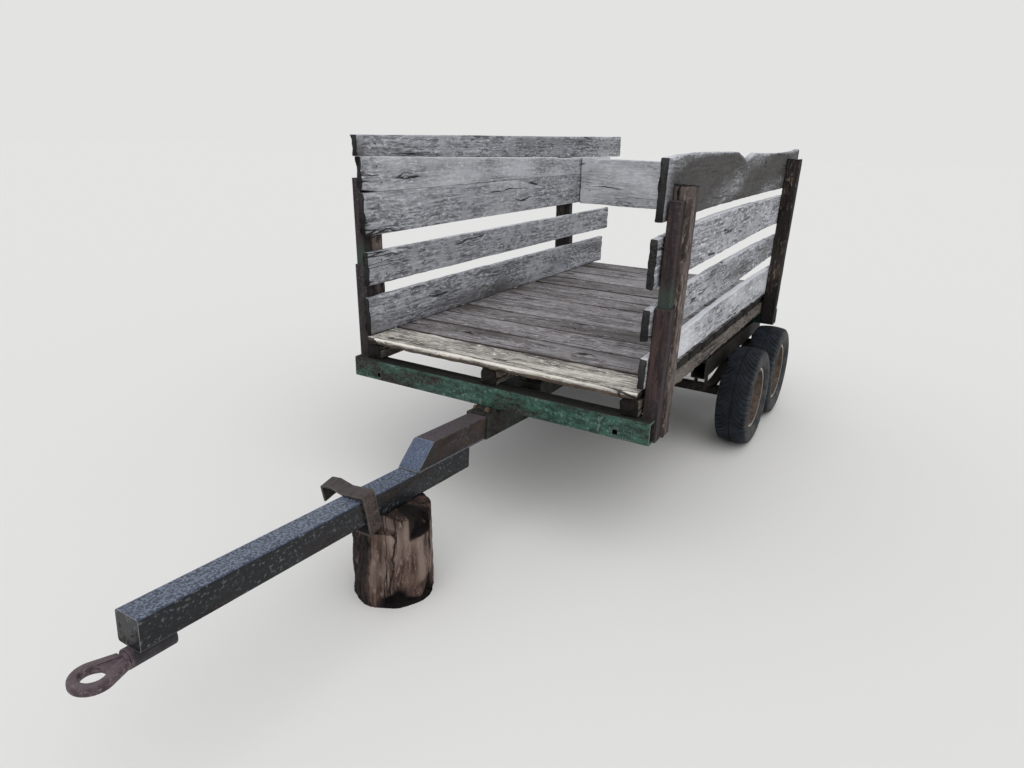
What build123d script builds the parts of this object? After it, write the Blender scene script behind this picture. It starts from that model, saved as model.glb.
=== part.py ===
from build123d import *
from math import acos, asin, atan2, cos, degrees, hypot, pi, radians, sin, sqrt, tan
import os

os.makedirs("parts", exist_ok=True)

# Timber trailer: a plank bed between slatted plank sides on a steel frame,
# with two axles and a stepped box drawbar that rests on a log.
# +X points forward to the towing eye, +Y to the trailer's left, +Z up.
# Z is 0 on the ground, and X is 0 halfway between the eye's tip and the last board's end.
# Distances named "back" are measured rearwards from the front face of the front beam.

# Overall places
beam_top = 655.0
tail_back = 3104.0
seat = 0.3

# Cross beams, made of rectangular steel tube
beam_length = 1570.0
beam_depth = 90.0
beam_height = 100.0
beam_wall = 8.0
mid_beam_back = 1270.0

# Wooden bed; its clearances are taken from the inner face of the posts
bearer_height = 74.0
bearer_width = 85.0
bearer_setback = 18.0
bearer_clear = 5.0
plank_thickness = 39.0
bed_back = 15.0
bed_clear = 8.0
edge_round = 9.0

# Plank sides, which lean outwards; their place is taken at the height of the beams' underside
side_inner_y = 696.0
side_lean = 1.1
board_thickness = 31.0

# Stakes: a steel tube in a sleeve, with a wooden post beside it, at each corner
stake_size = 50.0
stake_wall = 4.0
sleeve_wall = 7.5
sleeve_setback = 50.0
sleeve_rise = 458.0
stake_rise = 866.0
post_depth = 75.0
post_width = 78.0
post_round = 5.0
front_post_rise = 925.0
rear_post_rise = 975.0
rear_post_back = 2200.0
rear_stake_drop = 60.0

# Drawbar: two square tubes, one stepped on the other, lifted towards the eye
bar_size = 100.0
bar_wall = 6.0
bar_round = 9.0
bar_lift = 3.4
socket_wall = 8.0
socket_front = 70.0
socket_length = 470.0
saddle_height = 12.0
lug_width = 52.0
lug_height = 24.0
lug_length = 36.0
lug_place = 20.0
riser_toe = 563.0
riser_heel = 460.0
riser_tail = 330.0
lower_tail = 200.0
lower_nose = 1728.0

# Towing eye: a round bar bent to a U with a web between its legs, on a shank in a round sleeve
eye_bore = 31.0
eye_bar = 28.0
eye_height = 30.0
eye_round = 11.0
bore_wall = 12.0
eye_heel = 84.0
eye_heel_half = 31.0
web_height = 18.0
neck_radius = 20.0
shank_radius = 30.0
shank_front = 14.0
shank_length = 134.0
eye_reach = 101.0

# Strap hook, bent from flat bar, which hangs aslant on the drawbar
strap_width = 60.0
strap_thickness = 8.0
strap_place = 841.0
strap_tilt = 15.0
strap_clear = 25.0
strap_drop = 40.0
strap_foot = 20.0
loop_reach = 96.0
loop_height = 30.0
loop_drop = 78.0

# Log under the drawbar, with a wedge out of its top edge and a lower shoulder in front
log_place = 670.0
log_radius = 178.0
log_taper = 1.0
notch_turn = 88.0
notch_width = 60.0
notch_height = 80.0
notch_depth = 65.0
shoulder_place = 765.0
shoulder_drop = 55.0

# Running gear
spine_size = 100.0
spine_wall = 6.0
plate_thickness = 12.0
rail_y = 615.0
rail_width = 80.0
rail_height = 100.0
rail_wall = 5.0
rail_front = 1255.0
rail_back = 2600.0
axle_size = 50.0
axle_backs = (1600.0, 2195.0)
spindle_radius = 17.5
collar_radius = 24.0
spring_reach = 265.0
spring_sag = 60.0
leaf_thickness = 8.0
leaf_width = 50.0
leaf_spans = (1.0, 0.72, 0.42)
spring_eye_radius = 15.0
pin_radius = 8.0
hanger_thickness = 8.0
hanger_length = 60.0
hanger_margin = 5.0

# Wheels
tyre_radius = 289.0
tyre_width = 190.0
tread_width = 155.0
tyre_crown = 9.0
tyre_wall = 12.0
wheel_y = 805.0
rim_radius = 165.0
rim_width = 140.0
rim_sheet = 4.0
flange_height = 13.0
well_depth = 16.0
well_half = 20.0
well_slope = 8.0
disc_y = 16.0
disc_sheet = 5.0
disc_flat = 72.0
disc_bulge = 16.0
bulge_start = 92.0
bulge_end = 108.0
vent_count = 8
vent_radius = 11.0
vent_circle = 112.0
hub_radius = 42.0
hub_inset = 78.0
hub_bevel = 6.0
hub_taper = 30.0
cap_radius = 25.0
cap_length = 26.0
cap_round = 5.0

# Derived places
lift = radians(bar_lift)
lean = radians(side_lean)
bore_flare = (eye_height - bore_wall) / 2
eye_tip = eye_reach + eye_bore + eye_bar
eye_drop = 1.5 * bar_size + shank_radius + seat
reach = (lower_nose + eye_tip) * cos(lift) + eye_drop * sin(lift)
front = (tail_back - reach) / 2
deck_top = beam_top + bearer_height + plank_thickness
side_outer_y = side_inner_y + board_thickness
bearer_outer_y = side_outer_y - bearer_clear
bed_width = 2 * (side_outer_y - bed_clear)
sleeve_size = stake_size + 2 * (seat + sleeve_wall)
rear_beam_back = rear_post_back + post_depth + sleeve_size
socket_size = bar_size + 2 * (seat + socket_wall)
wheel_z = tyre_radius


def save(piece, name):
    """Label one finished piece and write it to its file."""
    piece.part.label = name
    export_step(piece.part, f"parts/{name}.step")


def x_at(back):
    """Forward place of a distance behind the front beam's face."""
    return front - back


def side_point(side, x, out, height):
    """Point on a leaning side: outwards from its boards, and up the lean from the beams' underside."""
    outwards = Vector(0, side * cos(lean), -sin(lean))
    upwards = Vector(0, side * sin(lean), cos(lean))
    return Vector(x, side * side_outer_y, beam_top - beam_height) + outwards * out + upwards * height


def stake_plane(side, x, out, height):
    """Plane across the stakes of a leaning side, with its X forward."""
    upwards = (0, side * sin(lean), cos(lean))
    return Plane(origin=side_point(side, x, out, height), x_dir=(1, 0, 0), z_dir=upwards)


# Cross beams
cross_beams = (
    # name, back of the front face, length
    ("front_beam", 0.0, beam_length),
    ("middle_beam", mid_beam_back, 2 * (rail_y + rail_width / 2)),
    ("rear_beam", rear_beam_back, beam_length),
)
lock_hole = 23.0
lock_recess = 86.0
lock_height = 40.0
lock_depth = 3.0
lock_inset = 76.0
for name, back, length in cross_beams:
    with BuildPart() as beam:
        middle = (x_at(back) - beam_depth / 2, -length / 2, beam_top - beam_height / 2)
        with BuildSketch(Plane(origin=middle, x_dir=(1, 0, 0), z_dir=(0, 1, 0))):
            RectangleRounded(beam_depth, beam_height, beam_wall)
            Rectangle(beam_depth - 2 * beam_wall, beam_height - 2 * beam_wall, mode=Mode.SUBTRACT)
        extrude(amount=length)
        if name == "front_beam":
            # Near each end the front wall has a shallow recess with a square lock hole.
            face_plane = Plane(origin=(x_at(back), 0, beam_top), x_dir=(0, 1, 0), z_dir=(1, 0, 0))
            recess_y = length / 2 - lock_inset - lock_recess / 2
            recess_z = -beam_height + beam_wall + lock_height / 2
            hole_y = recess_y - lock_recess / 2 + lock_hole / 2
            with BuildSketch(face_plane):
                with Locations((recess_y, recess_z), (-recess_y, recess_z)):
                    Rectangle(lock_recess, lock_height)
            extrude(amount=-lock_depth, mode=Mode.SUBTRACT)
            with BuildSketch(face_plane):
                with Locations((hole_y, recess_z), (-hole_y, recess_z)):
                    Rectangle(lock_hole, lock_hole)
            extrude(amount=-beam_wall, mode=Mode.SUBTRACT)
            # Behind its front wall each end is cut away for the stake's sleeve.
            notch_length = beam_depth - sleeve_setback + seat
            for side in (1, -1):
                notch_x = x_at(beam_depth) + notch_length / 2
                with BuildSketch(stake_plane(side, notch_x, sleeve_size / 2, 0)):
                    Rectangle(notch_length, sleeve_size + 2 * seat)
                extrude(amount=2 * beam_height, both=True, mode=Mode.SUBTRACT)
    save(beam, name)

# Spine tube from the drawbar's socket to the rear beam, with the plate that joins them
spine_front = socket_length - socket_front + plate_thickness
spine_back = rear_beam_back + beam_depth
with BuildPart() as spine:
    spine_z = beam_top - beam_height - spine_size / 2
    with BuildSketch(Plane(origin=(x_at(spine_back), 0, spine_z), x_dir=(0, 1, 0), z_dir=(1, 0, 0))):
        RectangleRounded(spine_size, spine_size, bar_round)
        Rectangle(spine_size - 2 * spine_wall, spine_size - 2 * spine_wall, mode=Mode.SUBTRACT)
    extrude(amount=spine_back - spine_front)
    plate_drop = socket_size + saddle_height + spine_front * tan(lift)
    plate_middle = beam_top - beam_height - plate_drop / 2
    with BuildSketch(Plane(origin=(x_at(spine_front), 0, plate_middle), x_dir=(0, 1, 0), z_dir=(1, 0, 0))):
        Rectangle(socket_size + 2 * plate_thickness, plate_drop)
    extrude(amount=plate_thickness)
save(spine, "spine")

# Drawbar planes: along the bar seen from the side, and across it at a distance ahead of the beam
tube_axis = beam_top - beam_height - saddle_height - socket_size / 2
bar_along = Vector(cos(lift), 0, sin(lift))
bar_up = Vector(-sin(lift), 0, cos(lift))
bar_origin = Vector(front, 0, tube_axis)
bar_side = Plane(origin=bar_origin, x_dir=bar_along, z_dir=(0, -1, 0))


def bar_section(along, rise=0.0):
    """Plane across the drawbar, with its X to the left and its Y up the bar."""
    return Plane(origin=bar_origin + bar_along * along + bar_up * rise, x_dir=(0, 1, 0), z_dir=bar_along)


# Socket under the front beam that holds the drawbar, with its saddle and a bolted lug on top
with BuildPart() as socket:
    with BuildSketch(bar_section(socket_front)):
        RectangleRounded(socket_size, socket_size, socket_wall)
        Rectangle(bar_size + 2 * seat, bar_size + 2 * seat, mode=Mode.SUBTRACT)
    extrude(amount=-socket_length)
    split(bisect_by=Plane(origin=(x_at(socket_length - socket_front), 0, 0), z_dir=(1, 0, 0)), keep=Keep.TOP)
    saddle_front = Plane(origin=(front, 0, beam_top - beam_height), x_dir=(1, 0, 0), z_dir=(0, -1, 0))
    with BuildSketch(saddle_front):
        saddle_back = saddle_height + 2 * beam_depth * tan(lift)
        with BuildLine():
            Polyline((0, 0), (0, -saddle_height), (-beam_depth, -saddle_back), (-beam_depth, 0), close=True)
        make_face()
    extrude(amount=bar_size / 2, both=True)
    with BuildSketch(bar_section(lug_place, socket_size / 2 - seat)):
        lug_half = lug_width / 2
        lug_side = lug_height / 3
        with BuildLine():
            Line((-lug_half, 0), (lug_half, 0))
            Line((lug_half, 0), (lug_half, lug_side))
            ThreePointArc((lug_half, lug_side), (0, lug_height), (-lug_half, lug_side))
            Line((-lug_half, lug_side), (-lug_half, 0))
        make_face()
    extrude(amount=lug_length)
save(socket, "drawbar_socket")

# Upper drawbar tube, cut on a slant and plated at its front end
with BuildPart() as riser:
    half = bar_size / 2
    with BuildSketch(bar_side):
        Polygon(
            (-riser_tail, -half),
            (riser_toe, -half),
            (riser_heel, half),
            (-riser_tail, half),
            align=None,
        )
    extrude(amount=half, both=True)
    long_edges = riser.edges().filter_by(Axis((0, 0, 0), (bar_along.X, 0, bar_along.Z)))
    fillet(long_edges.group_by(SortBy.LENGTH)[0] + long_edges.group_by(SortBy.LENGTH)[-1], bar_round)
    slant = (riser_toe - riser_heel) / bar_size
    inner = half - bar_wall
    inner_toe = riser_toe - bar_wall * (slant + sqrt(1 + slant ** 2))
    inner_heel = inner_toe - 2 * inner * slant
    with BuildSketch(bar_side):
        Polygon(
            (-riser_tail, -inner),
            (inner_toe, -inner),
            (inner_heel, inner),
            (-riser_tail, inner),
            align=None,
        )
    extrude(amount=inner, both=True, mode=Mode.SUBTRACT)
save(riser, "drawbar_upper_tube")

# Lower drawbar tube, closed at both ends
with BuildPart() as lower:
    with BuildSketch(bar_section(lower_tail, -bar_size)):
        RectangleRounded(bar_size, bar_size, bar_round)
    extrude(amount=lower_nose - lower_tail)
    with BuildSketch(bar_section(lower_tail + bar_wall, -bar_size)):
        Rectangle(bar_size - 2 * bar_wall, bar_size - 2 * bar_wall)
    extrude(amount=lower_nose - lower_tail - 2 * bar_wall, mode=Mode.SUBTRACT)
save(lower, "drawbar_lower_tube")

# Towing eye, outlined from above by the ring's outer circle and its tangents to the heel
eye_rise = -1.5 * bar_size - shank_radius - seat
eye_middle = bar_origin + bar_along * (lower_nose + eye_reach) + bar_up * eye_rise
eye_plane = Plane(origin=eye_middle, x_dir=bar_along, z_dir=bar_up)
ring_radius = eye_bore + eye_bar


def tangent_outline(radius, half):
    """Corners of the straight part between a circle and the eye's heel."""
    corner_turn = atan2(half, -eye_heel) - acos(radius / hypot(eye_heel, half))
    touch = (radius * cos(corner_turn), radius * sin(corner_turn))
    return (touch, (-eye_heel, half), (-eye_heel, -half), (touch[0], -touch[1]))


with BuildPart() as eye:
    with BuildSketch(eye_plane):
        Circle(ring_radius)
        Polygon(*tangent_outline(ring_radius, eye_heel_half), align=None)
    extrude(amount=eye_height / 2, both=True)
    rims = eye.faces().filter_by(Axis(eye_middle, bar_up)).edges()
    fillet(rims, eye_round)
    # Between the legs both faces are sunk to the web.
    for face_side in (1, -1):
        with BuildSketch(eye_plane.offset(face_side * web_height / 2)):
            Circle(eye_bore)
            Polygon(*tangent_outline(eye_bore, eye_heel_half - eye_bar), align=None)
        extrude(amount=face_side * eye_height, mode=Mode.SUBTRACT)
    # The bore is straight in its middle and rounds out to both faces.
    with BuildSketch(Plane(origin=eye_middle, x_dir=bar_along, z_dir=(0, -1, 0))):
        with BuildLine():
            flare_edge = eye_bore + bore_flare
            flare_mid = flare_edge - bore_flare * cos(pi / 4)
            flare_rise = bore_wall / 2 + bore_flare * sin(pi / 4)
            Line((0, -eye_height / 2), (0, eye_height / 2))
            Line((0, eye_height / 2), (flare_edge, eye_height / 2))
            ThreePointArc(
                (flare_edge, eye_height / 2), (flare_mid, flare_rise), (eye_bore, bore_wall / 2)
            )
            Line((eye_bore, bore_wall / 2), (eye_bore, -bore_wall / 2))
            ThreePointArc(
                (eye_bore, -bore_wall / 2), (flare_mid, -flare_rise), (flare_edge, -eye_height / 2)
            )
            Line((flare_edge, -eye_height / 2), (0, -eye_height / 2))
        make_face()
    revolve(axis=Axis(eye_middle, bar_up), mode=Mode.SUBTRACT)
    neck_start = lower_nose + eye_reach - eye_heel + neck_radius / 4
    with BuildSketch(bar_section(neck_start, eye_rise)):
        Circle(neck_radius)
    extrude(amount=lower_nose - neck_start)
    with BuildSketch(bar_section(lower_nose + shank_front, eye_rise)):
        Circle(shank_radius)
    extrude(amount=-shank_length)
save(eye, "tow_eye")

# Strap hook: under the bar, up its left side, down over the top to the far edge, and out to an open loop
tilt = radians(strap_tilt)
strap_along = bar_along * cos(tilt) - bar_up * sin(tilt)
strap_middle = bar_origin + bar_along * strap_place - bar_up * bar_size
strap_plane = Plane(origin=strap_middle, x_dir=(0, 1, 0), z_dir=strap_along)
bar_half = bar_size / 2
strap_side = bar_half + strap_thickness
strap_top = (bar_half + strap_clear) / cos(tilt)
strap_low = -(bar_half + strap_drop) / cos(tilt)
# The far edge is touched by the front of the slanting strap, half the strap's width ahead.
strap_rest = (bar_half + seat + strap_width / 2 * sin(tilt) + strap_thickness / 2) / cos(tilt)
loop_far = -bar_half - loop_reach
loop_top = strap_rest + loop_height / 2
with BuildPart() as strap:
    with BuildSketch(strap_plane.offset(-strap_width / 2)):
        with BuildLine():
            FilletPolyline(
                (-strap_foot, strap_low),
                (strap_side, strap_low),
                (strap_side, strap_top),
                (bar_round - bar_half, strap_rest),
                (-bar_half - loop_reach / 2, loop_top),
                (loop_far, loop_top - strap_thickness),
                (loop_far, loop_top - loop_drop),
                radius=strap_thickness,
            )
        trace(line_width=strap_thickness)
    extrude(amount=strap_width)
save(strap, "strap_hook")

# Log that props the drawbar: an uneven trunk, sawn along the bar's underside
log_outline = (1.02, 0.97, 1.03, 0.94, 1.0, 0.98, 1.05, 0.95)
bar_underside = Plane(origin=bar_origin - bar_up * (1.5 * bar_size + seat), z_dir=bar_up)
log_top = tube_axis + log_place * tan(lift) - (1.5 * bar_size + seat) / cos(lift)
with BuildPart() as log:
    with BuildSketch(Plane(origin=(front + log_place, 0, 0))) as log_sketch:
        corner = 360 / len(log_outline)
        Polygon(
            *[
                (log_radius * share * cos(radians(corner * i)), log_radius * share * sin(radians(corner * i)))
                for i, share in enumerate(log_outline)
            ],
            align=None,
        )
        fillet(log_sketch.vertices(), log_radius * 0.6)
    extrude(amount=tube_axis, taper=log_taper)
    split(bisect_by=bar_underside, keep=Keep.BOTTOM)
    notch_out = Vector(cos(radians(notch_turn)), sin(radians(notch_turn)), 0)
    notch_middle = Vector(front + log_place, 0, log_top) + notch_out * (log_radius - notch_depth)
    with BuildSketch(Plane(origin=notch_middle, x_dir=notch_out.cross(Vector(0, 0, 1)), z_dir=notch_out)):
        Polygon(
            (0, -notch_height),
            (notch_width, notch_height),
            (-notch_width, notch_height),
            align=None,
        )
    extrude(amount=log_radius, mode=Mode.SUBTRACT)
    with BuildSketch(bar_side):
        shoulder_length = log_place + 2 * log_radius - shoulder_place
        with Locations((shoulder_place + shoulder_length / 2, -1.5 * bar_size)):
            Rectangle(shoulder_length, 2 * shoulder_drop)
    extrude(amount=2 * log_radius, both=True, mode=Mode.SUBTRACT)
save(log, "prop_log")

# Side rails with their spring hangers
axle_top = wheel_z + axle_size / 2
spring_curve = (spring_reach ** 2 + spring_sag ** 2) / (2 * spring_sag)
pack_height = leaf_thickness * len(leaf_spans)
main_leaf_low = axle_top + seat + pack_height - leaf_thickness
eye_pin_z = main_leaf_low + leaf_thickness / 2 + spring_sag
rail_bottom = beam_top - beam_height - rail_height
hanger_gap = leaf_width / 2 + seat
hangers = (
    # backs of the hangers' middles
    axle_backs[0] - spring_reach,
    (axle_backs[0] + axle_backs[1]) / 2,
    axle_backs[1] + spring_reach,
)
pins = [back + step for back in axle_backs for step in (-spring_reach, spring_reach)]
pin_gap = axle_backs[1] - axle_backs[0] - 2 * spring_reach
for side, name in ((1, "left"), (-1, "right")):
    with BuildPart() as rail:
        rail_middle = (x_at(rail_back), side * rail_y, rail_bottom + rail_height / 2)
        with BuildSketch(Plane(origin=rail_middle, x_dir=(0, 1, 0), z_dir=(1, 0, 0))):
            RectangleRounded(rail_width, rail_height, rail_wall)
            Rectangle(rail_width - 2 * rail_wall, rail_height - 2 * rail_wall, mode=Mode.SUBTRACT)
        extrude(amount=rail_back - rail_front)
        hanger_drop = rail_bottom - eye_pin_z + spring_eye_radius + hanger_margin
        for cheek in (-1, 1):
            cheek_y = side * rail_y + cheek * (hanger_gap + hanger_thickness / 2)
            cheek_plane = Plane(origin=(0, cheek_y, rail_bottom), x_dir=(1, 0, 0), z_dir=(0, -1, 0))
            with BuildSketch(cheek_plane):
                for back in hangers:
                    wide = hanger_length + (pin_gap if back == hangers[1] else 0)
                    with Locations((x_at(back), -hanger_drop / 2)):
                        Trapezoid(wide, hanger_drop, 82)
            extrude(amount=hanger_thickness / 2, both=True)
        pin_plane = Plane(origin=(0, side * rail_y, 0), x_dir=(1, 0, 0), z_dir=(0, -1, 0))
        with BuildSketch(pin_plane):
            with Locations(*[(x_at(back), eye_pin_z) for back in pins]):
                Circle(pin_radius)
        extrude(amount=hanger_gap + hanger_thickness, both=True)
    save(rail, f"side_rail_{name}")

    # Two leaf springs in line, each three leaves deep, on top of the axles
    with BuildPart() as springs:
        spring_plane = Plane(origin=(0, side * rail_y, 0), x_dir=(1, 0, 0), z_dir=(0, -1, 0))
        half_angle = degrees(asin(spring_reach / (spring_curve + leaf_thickness / 2)))
        with BuildSketch(spring_plane):
            for back in axle_backs:
                centre_z = main_leaf_low + spring_curve + leaf_thickness
                for row, share in enumerate(leaf_spans):
                    bow = spring_curve + leaf_thickness / 2 + row * leaf_thickness
                    angle = half_angle * share
                    with BuildLine():
                        CenterArc((x_at(back), centre_z), bow, -90 - angle, 2 * angle)
                    trace(line_width=leaf_thickness)
                eye_x = spring_reach
                with Locations((x_at(back) - eye_x, eye_pin_z), (x_at(back) + eye_x, eye_pin_z)):
                    Circle(spring_eye_radius)
            with Locations(*[(x_at(back), eye_pin_z) for back in pins]):
                Circle(pin_radius + seat, mode=Mode.SUBTRACT)
        extrude(amount=leaf_width / 2, both=True)
    save(springs, f"leaf_springs_{name}")

# Axles: a square beam with a collar and a spindle at each end
hub_inner_y = wheel_y - hub_inset
cap_y = disc_y + disc_sheet
spindle_tip_y = wheel_y + cap_y - seat
for back, name in zip(axle_backs, ("front", "rear")):
    with BuildPart() as axle:
        beam_end = rail_y + rail_width / 2
        with BuildSketch(Plane(origin=(x_at(back), -beam_end, wheel_z), x_dir=(1, 0, 0), z_dir=(0, 1, 0))):
            RectangleRounded(axle_size, axle_size, 4)
        extrude(amount=2 * beam_end)
        middle_plane = Plane(origin=(x_at(back), 0, wheel_z), x_dir=(1, 0, 0), z_dir=(0, 1, 0))
        with BuildSketch(middle_plane):
            Circle(collar_radius)
        extrude(amount=hub_inner_y - 2, both=True)
        with BuildSketch(middle_plane):
            Circle(spindle_radius)
        extrude(amount=spindle_tip_y, both=True)
    save(axle, f"axle_{name}")

# Wheels: a tyre, and a steel rim with its disc, hub and grease cap
bead_radius = rim_radius + seat
bead_y = rim_width / 2 - seat
shoulder_y = tread_width / 2
shoulder_radius = tyre_radius - tyre_crown
belly_radius = (bead_radius + tyre_radius) / 2 - 4
well_radius = rim_radius - well_depth
slope_half = well_half + well_slope
for back, row_name in zip(axle_backs, ("front", "rear")):
    for side, side_name in ((1, "left"), (-1, "right")):
        centre = (x_at(back), side * wheel_y, wheel_z)
        turn = Axis(centre, (0, 1, 0))
        profile = Plane(origin=centre, x_dir=(0, side, 0), z_dir=(side, 0, 0))
        with BuildPart() as tyre:
            with BuildSketch(profile):
                with BuildLine():
                    flange_top = rim_radius + flange_height + 1
                    Line((-bead_y, bead_radius), (-bead_y, flange_top))
                    ThreePointArc(
                        (-bead_y, flange_top), (-tyre_width / 2, belly_radius), (-shoulder_y, shoulder_radius)
                    )
                    ThreePointArc(
                        (-shoulder_y, shoulder_radius), (0, tyre_radius), (shoulder_y, shoulder_radius)
                    )
                    ThreePointArc(
                        (shoulder_y, shoulder_radius), (tyre_width / 2, belly_radius), (bead_y, flange_top)
                    )
                    Line((bead_y, flange_top), (bead_y, bead_radius))
                    inner_bead = bead_y - tyre_wall
                    inner_top = shoulder_radius - tyre_wall
                    Line((bead_y, bead_radius), (inner_bead, bead_radius))
                    Line((inner_bead, bead_radius), (inner_bead, flange_top))
                    ThreePointArc(
                        (inner_bead, flange_top),
                        (tyre_width / 2 - tyre_wall, belly_radius),
                        (shoulder_y - tyre_wall, inner_top),
                    )
                    Line((shoulder_y - tyre_wall, inner_top), (tyre_wall - shoulder_y, inner_top))
                    ThreePointArc(
                        (tyre_wall - shoulder_y, inner_top),
                        (tyre_wall - tyre_width / 2, belly_radius),
                        (-inner_bead, flange_top),
                    )
                    Line((-inner_bead, flange_top), (-inner_bead, bead_radius))
                    Line((-inner_bead, bead_radius), (-bead_y, bead_radius))
                make_face()
            revolve(axis=turn)
        save(tyre, f"tyre_{row_name}_{side_name}")

        with BuildPart() as rim:
            outer_y = rim_width / 2 + rim_sheet
            with BuildSketch(profile):
                Polygon(
                    (-outer_y, rim_radius - rim_sheet),
                    (-outer_y, rim_radius + flange_height),
                    (-rim_width / 2, rim_radius + flange_height),
                    (-rim_width / 2, rim_radius),
                    (-slope_half, rim_radius),
                    (-well_half, well_radius),
                    (well_half, well_radius),
                    (slope_half, rim_radius),
                    (rim_width / 2, rim_radius),
                    (rim_width / 2, rim_radius + flange_height),
                    (outer_y, rim_radius + flange_height),
                    (outer_y, rim_radius - rim_sheet),
                    (slope_half + rim_sheet / 2, rim_radius - rim_sheet),
                    (well_half + rim_sheet / 2, well_radius - rim_sheet),
                    (-well_half - rim_sheet / 2, well_radius - rim_sheet),
                    (-slope_half - rim_sheet / 2, rim_radius - rim_sheet),
                    align=None,
                )
                with BuildLine():
                    Polyline(
                        (disc_y, (spindle_radius + hub_radius) / 2),
                        (disc_y, disc_flat),
                        (disc_y + disc_bulge, bulge_start),
                        (disc_y + disc_bulge, bulge_end),
                        (disc_y - disc_sheet, well_radius - rim_sheet / 2),
                    )
                trace(line_width=disc_sheet)
                hub_start = hub_inner_y - wheel_y
                bore = spindle_radius + seat
                cap_end = cap_y + cap_length
                Polygon(
                    (hub_start, bore),
                    (hub_start, hub_radius - hub_bevel),
                    (hub_start + hub_taper, hub_radius),
                    (cap_y, hub_radius),
                    (cap_y, cap_radius),
                    (cap_end, cap_radius),
                    (cap_end + cap_round, cap_radius - cap_round),
                    (cap_end + cap_round, 0),
                    (cap_y, 0),
                    (cap_y, bore),
                    align=None,
                )
            revolve(axis=turn)
            with BuildSketch(Plane(origin=centre, x_dir=(1, 0, 0), z_dir=(0, side, 0))):
                with PolarLocations(vent_circle, vent_count):
                    Circle(vent_radius)
            extrude(amount=rim_width, mode=Mode.SUBTRACT)
        save(rim, f"rim_{row_name}_{side_name}")

# Longitudinal wooden bearers on the beams
bearers = (
    # name, middle across the bed
    ("bearer_left", bearer_outer_y - bearer_width / 2),
    ("bearer_centre", 0.0),
    ("bearer_right", -bearer_outer_y + bearer_width / 2),
)
plank_rows = (
    # width of the plank, gap behind it
    (222, 3), (220, 4), (214, 3), (199, 4), (209, 3), (203, 4),
    (207, 3), (200, 13), (234, 3), (242, 4), (238, 3), (236, 0),
)
bed_length = sum(width + gap for width, gap in plank_rows)
for name, middle_y in bearers:
    with BuildPart() as bearer:
        length = bed_length + bed_back - bearer_setback
        with BuildSketch(Plane(origin=(x_at(bearer_setback) - length / 2, middle_y, beam_top))):
            Rectangle(length, bearer_width)
        extrude(amount=bearer_height)
    save(bearer, name)

# Bed planks, laid across the bearers; the first has a heavy rounded front edge
plank_bottom = beam_top + bearer_height
first_width = plank_rows[0][0]
with BuildPart() as front_plank:
    with BuildSketch(Plane(origin=(x_at(bed_back) - first_width / 2, 0, plank_bottom))):
        Rectangle(first_width, bed_width)
    extrude(amount=plank_thickness)
    nose = front_plank.faces().sort_by(Axis.X)[-1]
    fillet(nose.edges().filter_by(Axis.Y), edge_round)
save(front_plank, "bed_plank_front")

with BuildPart() as planks:
    back = bed_back
    for width, gap in plank_rows:
        if back > bed_back:
            with BuildSketch(Plane(origin=(x_at(back) - width / 2, 0, plank_bottom))):
                Rectangle(width, bed_width)
            extrude(amount=plank_thickness)
        back = back + width + gap
save(planks, "bed_planks")

# Side boards: their edges wander, as sawn from uneven trunks
side_boards = (
    # name, side, back of the front end, back of the rear end,
    # heights of the lower edge above the bed from front to rear, and of the upper edge
    ("right_board_1", -1, 20, 2824, (seat, seat), (190, 194, 193, 191)),
    ("right_board_2", -1, 31, 2917, (247, 250, 252, 249), (409, 412, 410, 411)),
    ("right_board_3", -1, 25, 2900, (487, 490, 489, 486), (687, 687)),
    ("right_board_4", -1, 20, 2900, (688, 688), (852, 828, 809, 798)),
    ("right_board_5", -1, 0, 3104, (853, 829, 810, 799), (946, 948, 947, 950)),
    ("left_board_1", 1, 24, 2418, (9, 33, 28, 20), (138, 174, 190, 184)),
    ("left_board_2", 1, 4, 2418, (216, 218, 245, 261), (344, 382, 394, 389)),
    ("left_board_3", 1, 4, 2418, (422, 442, 464, 464), (614, 642, 643, 635)),
    ("left_board_4", 1, 25, 2574, (671, 682, 684, 676), (905, 914, 896, 909)),
)
for name, side, start, end, lower_edge, upper_edge in side_boards:
    with BuildPart() as board:
        face_point = side_point(side, 0, min(side, 0) * board_thickness, deck_top - beam_top + beam_height)
        with BuildSketch(Plane(origin=face_point, x_dir=(1, 0, 0), z_dir=(0, -cos(lean), side * sin(lean)))):
            ends = []
            with BuildLine():
                for heights in (lower_edge, upper_edge):
                    step = (end - start) / (len(heights) - 1)
                    edge_points = [(x_at(start + i * step), height) for i, height in enumerate(heights)]
                    if len(heights) == 2:
                        Line(*edge_points)
                    else:
                        Spline(*edge_points)
                    ends.append((edge_points[0], edge_points[-1]))
                Line(ends[0][0], ends[1][0])
                Line(ends[0][1], ends[1][1])
            make_face()
        extrude(amount=board_thickness)
    save(board, name)

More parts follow.
